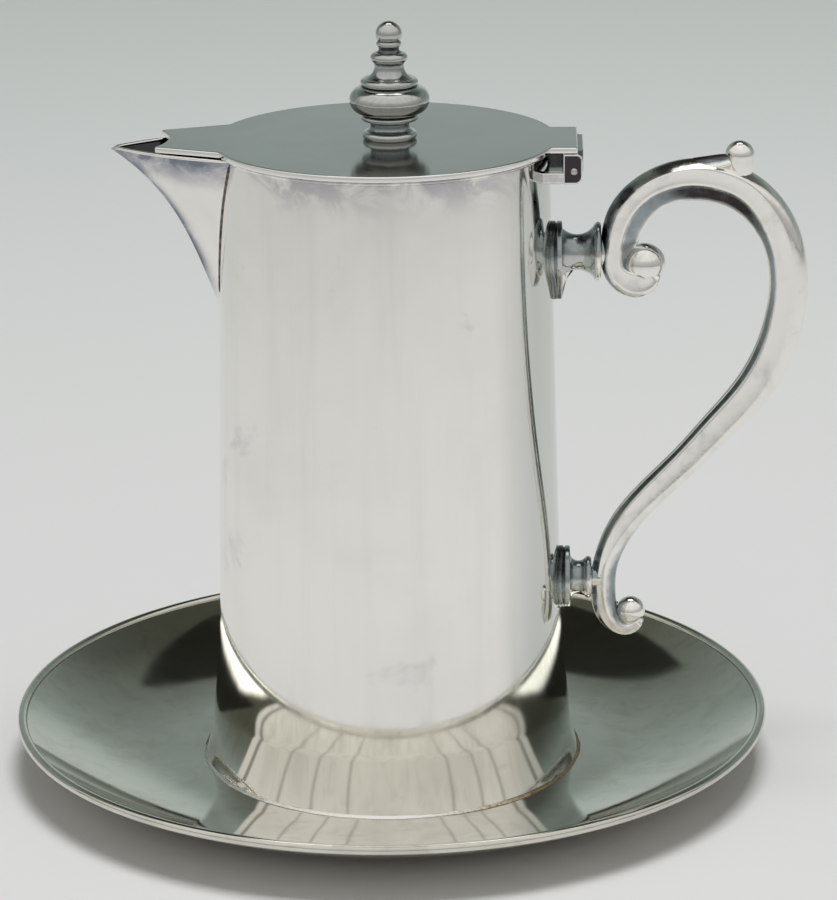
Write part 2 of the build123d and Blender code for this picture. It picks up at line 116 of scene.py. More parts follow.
def grid_mesh(name, points, wrap_rows=False, wrap_across=False, first_pole=False, last_pole=False,
              flip=False, recess=None):
    """A smooth mesh over a grid of points[row, across]: each cell is a quad, either direction can close on
    itself, and a first or last row that has shrunk to one point becomes a fan of triangles. A painted light
    mark of each point, from 0 to 1, is kept with it: it places painted shade and painted dark reflections,
    with tarnish in hollows as well, and on the lid a painted highlight."""
    rows, across = points.shape[:2]
    index = np.arange(rows * across).reshape(rows, across)
    index[0] = index[0, 0] if first_pole else index[0]
    index[-1] = index[-1, 0] if last_pole else index[-1]
    used, index = np.unique(index, return_inverse=True)
    index = index.reshape(rows, across)
    body = index[(1 if first_pole else 0):(rows - 1 if last_pole else rows)]
    above = np.roll(body, -1, axis=0) if wrap_rows else body[1:]
    below = body if wrap_rows else body[:-1]
    beside = [np.roll(part, -1, axis=1) for part in (below, above)]
    quads = np.stack([below, beside[0], beside[1], above], axis=-1)
    quads = (quads if wrap_across else quads[:, :-1]).reshape(-1, 4)
    faces = quads[:, ::-1].tolist() if flip else quads.tolist()
    if first_pole:
        fan = np.stack([body[0], np.full(across, index[0, 0]), np.roll(body[0], -1)], axis=-1)
        faces += (fan[:, ::-1] if flip else fan).tolist()
    if last_pole:
        fan = np.stack([body[-1], np.roll(body[-1], -1), np.full(across, index[-1, 0])], axis=-1)
        faces += (fan[:, ::-1] if flip else fan).tolist()
    mesh = bpy.data.meshes.new(name)
    mesh.from_pydata(points.reshape(-1, 3)[used].tolist(), [], faces)
    mesh.polygons.foreach_set("use_smooth", np.ones(len(mesh.polygons), bool))
    depth = np.broadcast_to(0.0 if recess is None else recess, (rows, across)).ravel()[used]
    mesh.attributes.new("recess", "FLOAT", "POINT").data.foreach_set("value", depth.astype(np.float32))
    mesh.update()
    piece = bpy.data.objects.new(name, mesh)
    bpy.context.scene.collection.objects.link(piece)
    return piece


def capped(name, rows, flip=False, recess=None):
    """A closed form from rows of rings, of which the first and the last have shrunk to a point."""
    return grid_mesh(name, np.asarray(rows), False, True, True, True, flip, recess)


def ring_angles(count):
    """Angles of evenly spaced points round a full circle."""
    return np.linspace(0, 2 * math.pi, count, endpoint=False)


def unit(vectors):
    """Vectors of length one, row by row."""
    return vectors / np.linalg.norm(vectors, axis=1)[:, None]


def length_along(points):
    """Distance along a chain of points up to each of them."""
    return np.concatenate([[0], np.cumsum(np.linalg.norm(np.diff(points, axis=0), axis=1))])


def inward_of(outline):
    """Unit normal at each point of a closed outline in a plane, towards its inside."""
    after, before = np.roll(outline, -1, axis=0), np.roll(outline, 1, axis=0)
    along = unit(after - before)
    area = np.sum(outline[:, 0] * after[:, 1] - outline[:, 1] * after[:, 0])
    return np.stack([-along[:, 1], along[:, 0]], -1) * np.sign(area)


def arc(start, middle, end, count=12):
    """Points on the circle through three points of a plane, from the first to the last."""
    (ax, ay), (bx, by), (cx, cy) = start, middle, end
    d = 2 * (ax * (by - cy) + bx * (cy - ay) + cx * (ay - by))
    aa, bb, cc = ax * ax + ay * ay, bx * bx + by * by, cx * cx + cy * cy
    ux = (aa * (by - cy) + bb * (cy - ay) + cc * (ay - by)) / d
    uy = (aa * (cx - bx) + bb * (ax - cx) + cc * (bx - ax)) / d
    radius = math.hypot(ax - ux, ay - uy)
    first = math.atan2(ay - uy, ax - ux)
    turns = [(math.atan2(y - uy, x - ux) - first) % (2 * math.pi) for x, y in (middle, end)]
    sweep = turns[1] if turns[0] < turns[1] else turns[1] - 2 * math.pi
    angle = first + np.linspace(0, sweep, count)
    return np.stack([ux + radius * np.cos(angle), uy + radius * np.sin(angle)], -1)


def line(start, end, count=8):
    """Points on a straight line, closer together at both ends."""
    share = 0.5 - 0.5 * np.cos(np.linspace(0, math.pi, count))
    start, end = np.asarray(start, float), np.asarray(end, float)
    return start + share[:, None] * (end - start)


def joined(*stretches):
    """One outline from several stretches, without the doubled points where they meet."""
    points = np.concatenate([np.asarray(s, float) for s in stretches])
    keep = np.ones(len(points), bool)
    keep[1:] = np.linalg.norm(np.diff(points, axis=0), axis=1) > 1e-7
    return points[keep]


def eased(corners, radii, steps=5, count=8):
    """A closed outline with straight sides whose corners are rounded: each corner gives way to an arc that
    touches both sides, and the sides between have points close together at their ends."""
    corners = np.asarray(corners, float)
    ends = []
    for k, radius in enumerate(radii):
        here = corners[k]
        back, ahead = corners[k - 1] - here, corners[(k + 1) % len(corners)] - here
        back, ahead = back / np.linalg.norm(back), ahead / np.linalg.norm(ahead)
        half = 0.5 * math.acos(np.clip(back @ ahead, -1, 1))
        reach = radius / math.tan(half)
        bisector = (back + ahead) / np.linalg.norm(back + ahead)
        crown = here + bisector * (radius / math.sin(half) - radius)
        ends.append((here + back * reach, crown, here + ahead * reach))
    stretches = []
    for k, (first, crown, last) in enumerate(ends):
        stretches.append(arc(first, crown, last, steps))
        stretches.append(line(last, ends[(k + 1) % len(ends)][0], count))
    points = joined(*stretches)
    return points[:-1] if np.linalg.norm(points[0] - points[-1]) < 1e-7 else points


def recess_of(profile, reach):
    """How deep each point of a profile lies in a hollow: the middle between the two points a reach away
    along it, measured from the point along the outward normal, as a share of the reach."""
    along = length_along(profile)
    ahead, back = (np.stack([np.interp(along + way, along, profile[:, k]) for k in (0, 1)], -1)
                   for way in (reach, -reach))
    chord = ahead - back
    length = np.maximum(np.linalg.norm(chord, axis=1), 1e-9)
    outward = np.stack([chord[:, 1], -chord[:, 0]], -1) / length[:, None]
    return np.clip(2.2 * (((ahead + back) / 2 - profile) * outward).sum(-1) / reach, 0, 1)


def turned(name, profile, segments=240, centre=(0, 0), closed=False, wobble=None, flip=False, reach=None):
    """A surface of revolution about a vertical axis: profile is (radius, height) points, closed into a ring
    section, or open with both ends on the axis. wobble(angle, radius) adds to the radius."""
    angle = ring_angles(segments)
    radius, height = profile[:, :1], profile[:, 1:]
    if wobble is not None:
        radius = radius + wobble(angle[None], radius)
    x, y = centre[0] + radius * np.cos(angle), centre[1] + radius * np.sin(angle)
    points = np.stack(np.broadcast_arrays(x, y, height), -1)
    recess = None if reach is None else recess_of(profile, reach)[:, None]
    return grid_mesh(name, points, closed, True, not closed, not closed, flip, recess)


def painted_dark_top(angle):
    """Painted shade on the upper side of a turned form that lies along X, for the dark room that it mirrors
    there; 0 is straight up.
    """
    return 0.55 * np.clip(1.6 * np.cos(angle)[None] + 0.2, 0, 1)


def lying(name, profile, height, segments=160):
    """A surface of revolution about an axis along X at a height: profile is (radius, x) points with both
    ends on the axis."""
    angle = ring_angles(segments)
    y, z = profile[:, :1] * np.sin(angle), height + profile[:, :1] * np.cos(angle)
    rows = np.stack(np.broadcast_arrays(profile[:, 1:], y, z), -1)
    # Painted shade: darker over the top and in the grooves of the profile.
    return capped(name, rows, False, painted_dark_top(angle) + recess_of(profile, 1.0 * MM)[:, None])


def drawn_out(name, outline, low, high, edge, tarnish=0.0):
    """A plate or bar: an outline in the plane of X and Z, drawn out between two places along Y, with its
    edges rounded over, and both faces closed towards the middle of the outline."""
    inward, middle = inward_of(outline), outline.mean(axis=0)
    face_shares = (0, 0.5, 0.93)
    rows = []
    for place, side in ((low, 1), (high, -1)):
        stack = [(middle + (outline + inward * edge - middle) * share, place) for share in face_shares]
        for bend in np.linspace(0, math.pi / 2, 5)[::-1]:
            inset, drop = edge * (1 - math.cos(bend)), edge * (1 - math.sin(bend))
            stack.append((outline + inward * inset, place + side * drop))
        stack.append((outline, place + side * edge * 1.3))
        rows += [np.insert(flat, 1, at, axis=1) for flat, at in stack[::side]]
    on_face = np.arange(len(rows)) < len(face_shares)
    # Painted shade: the flat faces take the given tarnish value in full as a dark mark, the rounded edges a
    # tenth of it.
    depth = np.where(on_face | on_face[::-1], tarnish, 0.1 * tarnish)[:, None]
    return capped(name, rows, True, depth)


def beaded(name, path, radius, sides=12):
    """A round wire along an open path of points, drawn to a point at both ends."""
    along = unit(np.gradient(path, axis=0))
    helper = np.array([0.0, 0.0, 1.0]) if abs(along[0, 2]) < 0.9 else np.array([0.0, 1.0, 0.0])
    side = unit(np.cross(along, helper))
    rise = np.cross(side, along)
    angle = ring_angles(sides)
    taper = np.sqrt(np.clip(1 - np.linspace(-1, 1, len(path)) ** 24, 0, 1)) * radius
    points = path[:, None] + taper[:, None, None] * (
        side[:, None] * np.cos(angle)[None, :, None] + rise[:, None] * np.sin(angle)[None, :, None])
    return capped(name, points)


# The underplate

rim_z = plate_height - rim_wire_radius
rim_x = plate_radius - rim_wire_radius
slope_run = rim_x - well_radius
slope_rise = rim_z - plate_sheet / 2
bowl_radius = (slope_run ** 2 + slope_rise ** 2) / (2 * slope_rise)
bowl_angle = math.asin(slope_run / bowl_radius)


def dish_point(turn, lift):
    """Point of the dish's section on its arc, a turn from the well and a lift above the sheet's middle."""
    radius = bowl_radius - lift
    return (well_radius + radius * math.sin(turn), plate_sheet / 2 + bowl_radius - radius * math.cos(turn))


def underplate():
    """The dish: a flat well that turns up in one arc to the wire, spun about the upright axis."""
    edge = bowl_angle - 0.1 * rim_wire_radius / bowl_radius
    top = np.array([dish_point(t, plate_sheet / 2) for t in np.linspace(0, edge, 60)])
    under = np.array([dish_point(t, -plate_sheet / 2) for t in np.linspace(edge, 0, 40)])
    profile = joined([(0, plate_sheet)], line((2 * MM, plate_sheet), top[0], 24), top, under,
                     line(under[-1], (2 * MM, 0), 12), [(0, 0)])
    return turned("underplate_dish", profile, 360, flip=True)


def rim_wire():
    """The round wire that edges the dish, a ring of circular section."""
    angle = ring_angles(28)
    profile = rim_wire_radius * np.stack([np.cos(angle), np.sin(angle)], -1) + [rim_x, rim_z]
    return turned("underplate_wire", profile, 360, closed=True, flip=True)


# The tube

def tube_profile(inset=0.0):
    """Heights and radii of the tube's outside, moved inwards: two bowed stretches and a straight taper."""
    foot, ankle = (foot_radius - inset, plate_sheet), (ankle_radius - inset, ankle_height)
    waist, mouth = (waist_radius - inset, waist_height), (mouth_radius - inset, mouth_height)
    below = ((foot[0] + ankle[0]) / 2 - ankle_bow, (foot[1] + ankle[1]) / 2)
    above = ((ankle[0] + waist[0]) / 2 - waist_bow, (ankle[1] + waist[1]) / 2)
    return joined(arc(foot, below, ankle, 24), arc(ankle, above, waist, 20), line(waist, mouth, 40))


tube_outside = tube_profile()


def tube_radius(height, inset=0.0):
    """Radius of the tube's outside at a height, less an inset."""
    return np.interp(height, tube_outside[:, 1], tube_outside[:, 0]) - inset


def spout_side(height, inset):
    """Tip of the keel and centre and radius of the far side's circle, in plan at a height."""
    rise = (height - spout_top + spout_depth) / spout_depth
    reach = spout_reach * (keel_straightness * rise + (1 - keel_straightness) * rise ** 4)
    radius = side_radius - inset
    tip = -tube_radius(height) - reach + inset / math.sin(tip_angle)
    return tip, tip + radius * math.sin(tip_angle), -radius * math.cos(tip_angle), radius


def spout_root(height, inset, depth=0.0):
    """Half the spout's width where its side meets the tube's wall, found by halving the stretch that it
    lies in, from the middle plane out to the widest place of the side's circle."""
    tip, centre_x, centre_y, radius = spout_side(height, inset)
    wall_radius = tube_radius(height) - depth
    low, high = np.zeros_like(height), np.full_like(height, centre_y + radius)
    for _ in range(40):
        middle = (low + high) / 2
        x = centre_x - np.sqrt(radius ** 2 - (middle - centre_y) ** 2)
        outside = np.hypot(x, middle) > wall_radius
        outside &= x < 0
        low, high = np.where(outside, middle, low), np.where(outside, high, middle)
    return low


def body_tube():
    """The tube: its outside, rolled edge and inside, carried round the axis, with the top edge cut down in a
    notch behind the spout."""
    angle = np.linspace(-math.pi, math.pi, 480, endpoint=False) + math.pi
    levels = np.linspace(spout_top - spout_depth, spout_top, 80)
    half = spout_root(levels, spout_wall, wall / 2)
    half_angle = np.arcsin(np.clip(half / tube_radius(levels), 0, 1))
    keep = np.concatenate([[True], np.diff(half_angle) > 1e-6])
    off = np.abs(angle - math.pi)
    notch = np.interp(off, half_angle[keep], levels[keep])
    top = np.where(off < half_angle.max(), notch, mouth_height)
    edge = 0.2 * MM
    outer = tube_outside[:, 1]
    outer_z = np.minimum(outer[:, None], top[None] - edge)
    outer_r = tube_radius(outer_z)
    roll = np.linspace(0, math.pi / 2, 4)
    over_z = top[None] - edge + edge * np.sin(roll)[:, None]
    over_r = tube_radius(top)[None] - edge + edge * np.cos(roll)[:, None]
    back_r = tube_radius(top)[None] - wall + edge - edge * np.cos(roll[::-1])[:, None]
    back_z = top[None] - edge + edge * np.sin(roll[::-1])[:, None]
    inner_z = np.minimum(outer[::-1][:, None], top[None] - edge)
    inner_r = tube_radius(inner_z, wall)
    z = np.concatenate([outer_z, over_z, back_z, inner_z])
    r = np.concatenate([outer_r, over_r, back_r, inner_r])
    points = np.stack([r * np.cos(angle), r * np.sin(angle), z], -1)
    return grid_mesh("body_tube", points, True, True)


def foot_solder():
    """Solder round the foot, a hollow fillet with an uneven toe."""
    crest = plate_sheet + 0.75 * MM
    inside = foot_radius - 0.5 * wall
    toe = foot_radius + 0.5 * MM
    profile = joined(line((inside, plate_sheet), (toe, plate_sheet), 4),
                     arc((toe, plate_sheet), (foot_radius + 0.16 * MM, plate_sheet + 0.3 * MM),
                         (inside, crest), 10))

    def uneven(angle, radius):
        wave = 0.4 * np.sin(7 * angle + 1) + 0.3 * np.sin(17 * angle + 2)
        wave = wave + 0.2 * np.sin(41 * angle) + 0.1 * np.sin(83 * angle)
        return 0.16 * MM * wave * (radius > foot_radius - 0.1 * MM) - 0.1 * MM

    return turned("foot_solder", profile[:-1], 480, closed=True, wobble=uneven, flip=True)


def mouth_wire():
    """The half-round wire round the mouth, from one side of the spout to the other."""
    gap = math.asin(spout_root(np.array([spout_top]), 0.0)[0] / mouth_radius) + 0.003
    angle = np.linspace(-math.pi + gap, math.pi - gap, 360)
    back, bottom, half = mouth_radius - 0.1 * MM, mouth_height - 0.9 * MM, 0.45 * MM
    crest = (mouth_radius + half, mouth_height - half)
    section = arc((mouth_radius, bottom), crest, (mouth_radius, mouth_height), 10)
    section = joined(section, line((back, mouth_height), (back, bottom), 3))
    end = np.repeat(section.mean(axis=0)[None], len(section), 0)
    rows = np.array([end] + [section] * len(angle) + [end])
    angle = np.concatenate([angle[:1], angle, angle[-1:]])[:, None]
    rows = np.stack([rows[..., 0] * np.cos(angle), rows[..., 0] * np.sin(angle), rows[..., 1]], -1)
    return capped("mouth_wire", rows, True)


# The spout

def spout_curve(height, inset, depth, count):
    """Plan of the spout's skin at each height as a graph over its width, with the keel's edge softened:
    x is the side's circle taken at the root of y squared plus a small radius squared."""
    half = spout_root(height, inset, depth)
    tip, centre_x, centre_y, radius = spout_side(height, inset)
    share = np.linspace(-1, 1, count)
    across = np.sign(share) * np.abs(share) ** 1.7
    y = half[:, None] * across[None]
    soft = (0.22 * MM) if inset == 0 else (0.5 * MM)
    blunt = np.sqrt(y ** 2 + soft ** 2) - soft * (1 - np.abs(across)[None])
    x = centre_x[:, None] - np.sqrt(radius ** 2 - (np.maximum(blunt, 0) - centre_y) ** 2)
    return np.stack([x, y, np.broadcast_to(height[:, None], y.shape)], -1)


def spout():
    """The spout: an outer skin and an inner one that meet in a rounded rim at the top and inside the tube's
    wall at the sides, carried up through the heights of the keel."""
    rise = np.linspace(0.015, 1, 90) ** 0.9
    height = spout_top - spout_depth * (1 - rise)
    edge = 0.22 * MM
    height = np.minimum(height, spout_top - edge)
    count = 61
    outer = spout_curve(height, 0.0, 0.25 * MM, count)
    inner = spout_curve(height, spout_wall, 0.25 * MM, count)
    wall_radius = tube_radius(height)[:, None] - 0.45 * MM
    reach = np.hypot(inner[..., 0], inner[..., 1])
    grow = np.where(reach < wall_radius, wall_radius / np.maximum(reach, 1e-6), 1)
    inner[..., :2] *= grow[..., None]
    lift = np.linspace(0, math.pi / 2, 5)
    across = unit(inner[-1] - outer[-1])
    up = np.array([0, 0, 1.0])
    rim_out = [outer[-1] + across * edge * (1 - math.cos(t)) + up * edge * math.sin(t) for t in lift[1:]]
    rim_in = [inner[-1] - across * edge * (1 - math.cos(t)) + up * edge * math.sin(t) for t in lift[1:]]
    rows = np.concatenate([outer, np.array(rim_out), np.array(rim_in[::-1]), inner[::-1]])
    # Painted shade and painted reflection: dark along the keel, where the spout mirrors dark surroundings,
    # over the top of its outside under the lid's tongue, and near black all over its inside.
    fading = np.clip((height - height[0]) / (9 * MM), 0.1, 1)[:, None]
    keel = 0.95 * np.exp(-(outer[..., 1] / (1.3 * MM)) ** 2) * fading
    under_lip = 1.1 * np.clip(1 - (spout_top - height) / (6.5 * MM), 0, 1)[:, None] ** 1.3
    outside = np.clip(keel + under_lip, 0, 0.9)
    inside = np.ones((len(rows) - len(outer) - len(rim_out), count))
    recess = np.concatenate([outside, np.zeros((len(rim_out), count)), inside])
    return grid_mesh("spout_skin", rows, True, False, flip=True, recess=recess)


def spout_lip():
    """The rolled lip of the spout: a fine bead along the top of its skin, from one root to the other."""
    level = np.array([spout_top - 0.5 * MM])
    path = spout_curve(level, 0.30 * MM, 0.3 * MM, 121)[0]
    path[:, 2] = spout_top + 0.05 * MM
    return beaded("spout_lip_bead", path, 0.36 * MM, 16)


def near_or_far(side):
    """The end of the name of a piece on one side: the camera stands on the negative one."""
    return "near" if side < 0 else "far"


def spout_seam(side):
    """The soldered seam where the spout meets the tube, a fine bead down one side."""
    height = np.linspace(spout_top - 0.4 * MM, spout_top - spout_depth * 0.9, 70)
    half = spout_root(height, 0.0)
    radius = tube_radius(height)
    x = -np.sqrt(radius ** 2 - half ** 2)
    path = np.stack([x, side * half, height], -1)
    return beaded("spout_seam_" + near_or_far(side), path, 0.28 * MM)


# The lid

def lid_outline():
    """Outline of the lid: a circle with a notched tongue over the spout and a square tab over the hinge."""
    tongue_root, root_half, end_half, notch = 29.8 * MM, 12.3 * MM, 7.4 * MM, 2.1 * MM
    slope = np.array([-(tongue_end - tongue_root), end_half - root_half])
    start = np.array([-tongue_root, root_half])
    a, b, c = slope @ slope, 2 * start @ slope, start @ start - lid_radius ** 2
    meet = start + slope * (-b + math.sqrt(b * b - 4 * a * c)) / (2 * a)
    tab_angle = math.asin(tab_half_width / lid_radius)
    tongue_angle = math.atan2(meet[1], meet[0])
    ease = 0.5 * MM
    round_side = np.linspace(tab_angle + 0.03, tongue_angle - 0.02, 150)
    far_arc = lid_radius * np.stack([np.cos(round_side), np.sin(round_side)], -1)
    side_dir = slope / np.linalg.norm(slope)
    end = np.array([-tongue_end, end_half])
    notch_arc = arc((end[0], end[1]), (-tongue_end + notch, 0), (end[0], -end[1]), 41)
    corner_in = end - side_dir * ease
    corner_out = notch_arc[2]
    corner = arc(corner_in, end + (0.55 * ((corner_in + corner_out) / 2 - end)), corner_out, 6)
    far_side = line(meet + side_dir * 0.4 * MM, corner_in, 14)
    joint = arc(far_arc[-1], meet + 0.06 * MM * np.array([-0.3, 1.0]), far_side[0], 5)
    tab_corner = np.array([tab_end, tab_half_width])
    tab_soft = arc(tab_corner + [0, -ease], tab_corner - 0.29 * ease, tab_corner + [-ease, 0], 5)
    tab_root = lid_radius * math.cos(tab_angle)
    tab_side = line(tab_soft[-1], (tab_root + 0.4 * MM, tab_half_width), 8)
    tab_joint = arc(tab_side[-1], (tab_root, tab_half_width + 0.08 * MM), far_arc[0], 5)
    upper = joined(tab_soft, tab_side, tab_joint, far_arc, joint, far_side, corner, notch_arc[2:21])
    lower = upper[::-1] * [1, -1]
    whole = joined(upper, lower)
    closing = line(whole[-1], whole[0], 16)[1:-1]
    return np.concatenate([whole, closing])


def lid_plate():
    """The lid: its outline drawn out by the sheet's thickness, with a softened top edge and a crisp lower
    one.
    Its outer edge is marked for a painted highlight that also stands for wear."""
    outline = lid_outline()
    inward = inward_of(outline)
    top_edge, low_edge = 0.3 * MM, 0.12 * MM
    rows = []
    highlight_and_wear = []

    def ring(inset, height, scale=1.0):
        flat = (outline + inward * inset) * scale
        # Painted highlight and wear: the sheet's outer edge is marked to go near white.
        highlight_and_wear.append([1.0 if scale == 1 and inset < 0.6 * top_edge else 0.0])
        rows.append(np.stack([flat[:, 0], flat[:, 1], np.full(len(flat), height)], -1))

    for scale in (0, 0.15, 0.35, 0.6, 0.85, 0.97):
        ring(top_edge * 1.3, lid_top, scale)
    ring(top_edge * 1.15, lid_top)
    for turn in np.linspace(0, math.pi / 2, 6):
        ring(top_edge * (1 - math.sin(turn)), lid_top - top_edge * (1 - math.cos(turn)))
    ring(0, lid_bottom + low_edge * 1.5)
    for turn in np.linspace(0, math.pi / 2, 4):
        ring(low_edge * (1 - math.cos(turn)), lid_bottom + low_edge * (1 - math.sin(turn)))
    for scale in (0.97, 0.6, 0):
        ring(low_edge * 1.3, lid_bottom, scale)
    return capped("lid_sheet", rows, True, np.array(highlight_and_wear))


# The finial

def finial():
    """The turned finial: a base ring, a neck, a ring, a wide bulb, a shoulder, a waisted neck with its
    collar, a small bead and the ball, as one profile spun about its own axis."""
    z = lid_top
    ball = (finial_high[2] - z) / MM - 2.45
    forms = [
        line((0, -0.05), (4.7, -0.05), 6), arc((4.75, 0.0), (5.1, 0.65), (4.8, 1.3), 9),
        line((4.7, 1.35), (4.3, 1.4), 3), arc((4.2, 1.45), (3.6, 2.4), (4.15, 3.35), 10),
        line((4.5, 3.42), (4.9, 3.45), 3), arc((5.0, 3.5), (5.35, 3.95), (5.05, 4.45), 8),
        line((4.95, 4.6), (5.1, 4.7), 3), arc((5.25, 4.75), (7.5, 7.25), (5.6, 9.75), 28),
        line((5.3, 9.85), (5.0, 9.95), 3), arc((5.05, 10.0), (5.4, 10.65), (4.95, 11.3), 9),
        line((4.75, 11.35), (4.3, 11.45), 3), arc((4.25, 11.5), (3.05, 12.5), (2.8, 14.2), 12),
        arc((2.85, 14.3), (3.45, 15.2), (2.9, 16.1), 10), line((2.75, 16.15), (2.3, 16.2), 3),
        arc((2.25, 16.25), (1.9, 16.7), (1.95, 17.2), 6), arc((2.0, 17.25), (2.35, 17.85), (1.95, 18.4), 8),
    ]
    neck_turn = math.asin((18.4 + 0.1 - ball) / 2.45)
    angle = np.linspace(neck_turn, math.pi / 2, 24)
    sphere = np.stack([2.45 * np.cos(angle), ball + 2.45 * np.sin(angle)], -1)
    profile = joined(*forms, sphere)
    profile[-1, 0] = 0
    profile = profile * MM + [0, z]
    # Painted shade: the finial's sharp grooves are marked dark, with their tarnish.
    return turned("finial_turning", profile, 160, (finial_x, 0), reach=0.5 * MM)


# The handle and its mounts

mounts = {}
for side_name in ("upper", "lower"):
    post_low, post_high = span(side_name + "_handle_post")
    collar_low, collar_high = span(side_name + "_handle_collar")
    mounts[side_name] = {
        "axis": (collar_low[2] + collar_high[2]) / 2,
        "collar_radius": (collar_high[2] - collar_low[2]) / 2,
        "collar_start": collar_low[0],
        "collar_end": collar_high[0],
        "plate_radius": post_high[1],
        "tail": (collar_low[2] + collar_high[2]) / 2 - post_low[2],
    }
seat_x = mounts["upper"]["collar_end"]
upper_axis_z = mounts["upper"]["axis"]

# Centre line of the scroll: distance out from the upper seat, height above the upper axis, half width
scroll = np.array([
    (8.1, -72.5, 0.9), (7.1, -74.2, 1.25), (4.9, -74.9, 1.5), (2.1, -73.0, 2.05), (0.8, -68.4, 2.4),
    (1.1, -62.4, 2.4), (3.9, -55.1, 2.7), (9.9, -47.5, 2.85), (16.7, -40.6, 2.95), (22.35, -34.3, 3.2),
    (28.35, -27.5, 3.6), (32.3, -20.7, 3.75), (34.7, -12.8, 3.75), (35.1, -2.3, 3.7), (32.3, 5.8, 3.85),
    (26.2, 11.9, 4.0), (17.0, 14.0, 4.05), (9.5, 11.8, 3.75), (5.0, 6.8, 3.9), (3.2, 1.5, 3.3),
    (3.0, -3.3, 2.6), (5.65, -5.7, 2.75), (8.5, -5.9, 2.1), (10.1, -4.7, 1.3), (10.9, -3.3, 0.6),
]) * MM
upper_half_thickness = 3.5 * MM
lower_half_thickness = 2.3 * MM


def smooth_path(stations, count):
    """A natural cubic spline through stations, by their distance along, evaluated at even steps."""
    along = length_along(stations[:, :2])
    n = len(along)
    h = np.diff(along)
    matrix = np.eye(n)
    right = np.zeros((n, stations.shape[1]))
    for k in range(1, n - 1):
        matrix[k, k - 1:k + 2] = h[k - 1], 2 * (h[k - 1] + h[k]), h[k]
        right[k] = 6 * ((stations[k + 1] - stations[k]) / h[k] - (stations[k] - stations[k - 1]) / h[k - 1])
    bend = np.linalg.solve(matrix, right)
    at = np.linspace(0, along[-1], count)
    k = np.clip(np.searchsorted(along, at) - 1, 0, n - 2)
    left, rest = (along[k + 1] - at)[:, None], (at - along[k])[:, None]
    step = h[k][:, None]
    from_left = (stations[k] / step - bend[k] * step / 6) * left
    from_right = (stations[k + 1] / step - bend[k + 1] * step / 6) * rest
    return (bend[k] * left ** 3 + bend[k + 1] * rest ** 3) / (6 * step) + from_left + from_right


def outward_of(path):
    """Unit normal of a path in the plane at each point, on the outer side of the scroll's bend."""
    along = unit(np.gradient(path[:, :2], axis=0))
    return np.stack([along[:, 1], -along[:, 0]], -1)


# How the handle's section changes from station to station: place of the ridge and of the inner break (shares
# of the half width, outwards), height of the break, how much the outside is a roof with a crisp ridge and not
# a round, and the painted shade on the outside and on the bevel
section = np.array([
    (0.20, -0.60, 0.90, 0, 0.0, 0.5), (0.20, -0.70, 0.90, 0, 0.0, 0.5), (0.15, -0.75, 0.88, 0, 0.3, 0.5),
    (0.10, -0.60, 0.85, 0, 0.6, 0.5), (0.05, -0.45, 0.82, 0, 0.6, 0.45), (0.00, -0.50, 0.80, 0, 0.5, 0.4),
    (0.35, -0.60, 0.80, 0, 0.2, 0.5), (0.50, -0.70, 0.80, 0, 0.1, 0.7), (0.60, -0.76, 0.78, 0, 0.1, 0.8),
    (0.60, -0.76, 0.78, 0, 0.1, 0.8), (0.50, -0.74, 0.80, 0, 0.1, 0.7), (0.40, -0.72, 0.82, 0, 0.1, 0.6),
    (0.30, -0.70, 0.84, 0, 0.1, 0.5), (0.30, -0.62, 0.86, 0, 0.1, 0.5), (0.40, -0.50, 0.88, 0.3, 0.1, 0.7),
    (0.60, -0.20, 0.92, 0.8, 0.1, 0.9), (0.68, -0.08, 0.94, 1, 0.1, 0.9), (0.66, -0.02, 0.95, 1, 0.3, 0.6),
    (0.60, 0.02, 0.95, 0.6, 0.8, 0.45), (0.50, -0.02, 0.95, 0.2, 0.9, 0.45), (0.45, -0.60, 0.96, 0, 0.7, 0.5),
    (0.50, -0.90, 0.97, 0, 0.3, 0.3), (0.50, -0.92, 0.97, 0, 0.1, 0.1), (0.50, -0.92, 0.95, 0, 0.1, 0.1),
    (0.50, -0.92, 0.92, 0, 0.1, 0.1),
])


def handle_section(form):
    """Half section of the handle for rows of its form, from the outer edge to the inner one, as shares of the
    half width and the half thickness: a quarter round or a roof up to the ridge, a broad face that falls
    gently to the inner break, and a hollow bevel that ends in a small bead."""
    ridge, inner, height, roof, painted_shade_outside, painted_shade_bevel = (form[:, k:k + 1] for k in range(6))
    turn = np.linspace(0, math.pi / 2, 16)[None, :-1]
    rising = np.sin(turn)
    out_round = (1 - roof) * (ridge + (1 - ridge) * np.cos(turn)) + roof * (1 - (1 - ridge) * rising ** 1.4)
    up_round = (1 - roof) * (1 - 0.05 * rising ** 4) * rising ** 0.85 + roof * 0.99 * rising
    along = np.linspace(0, 1, 9)[None]
    out_face = ridge + (inner - ridge) * along
    up_face = 0.985 + (height - 0.985) * along - 0.03 * np.sin(math.pi * along)
    down = np.linspace(0, 1, 12)[None, 1:]
    out_bevel = inner + (-0.93 - inner) * down
    up_bevel = height + (0.26 - height) * down ** 0.8
    lip = np.linspace(0, math.pi / 2, 7)[None, 1:]
    out_lip = -0.93 - 0.07 * np.sin(lip) + 0 * inner
    up_lip = 0.26 * np.cos(lip) ** 0.7 + 0 * inner
    # Painted shade: the outer round and the bevel are marked dark by the last two columns of the table.
    outside = painted_shade_outside * np.clip(1.3 * np.cos(turn), 0, 1)
    bevel = painted_shade_bevel * np.clip(4 * down, 0, 1) * np.clip(4 * (1.05 - down), 0, 1)
    out = np.concatenate([out_round, out_face, out_bevel, out_lip], axis=1)
    up = np.concatenate([up_round, up_face, up_bevel, up_lip], axis=1)
    recess = np.concatenate([outside, 0 * out_face, bevel, 0 * out_lip], axis=1)
    return out, up, recess


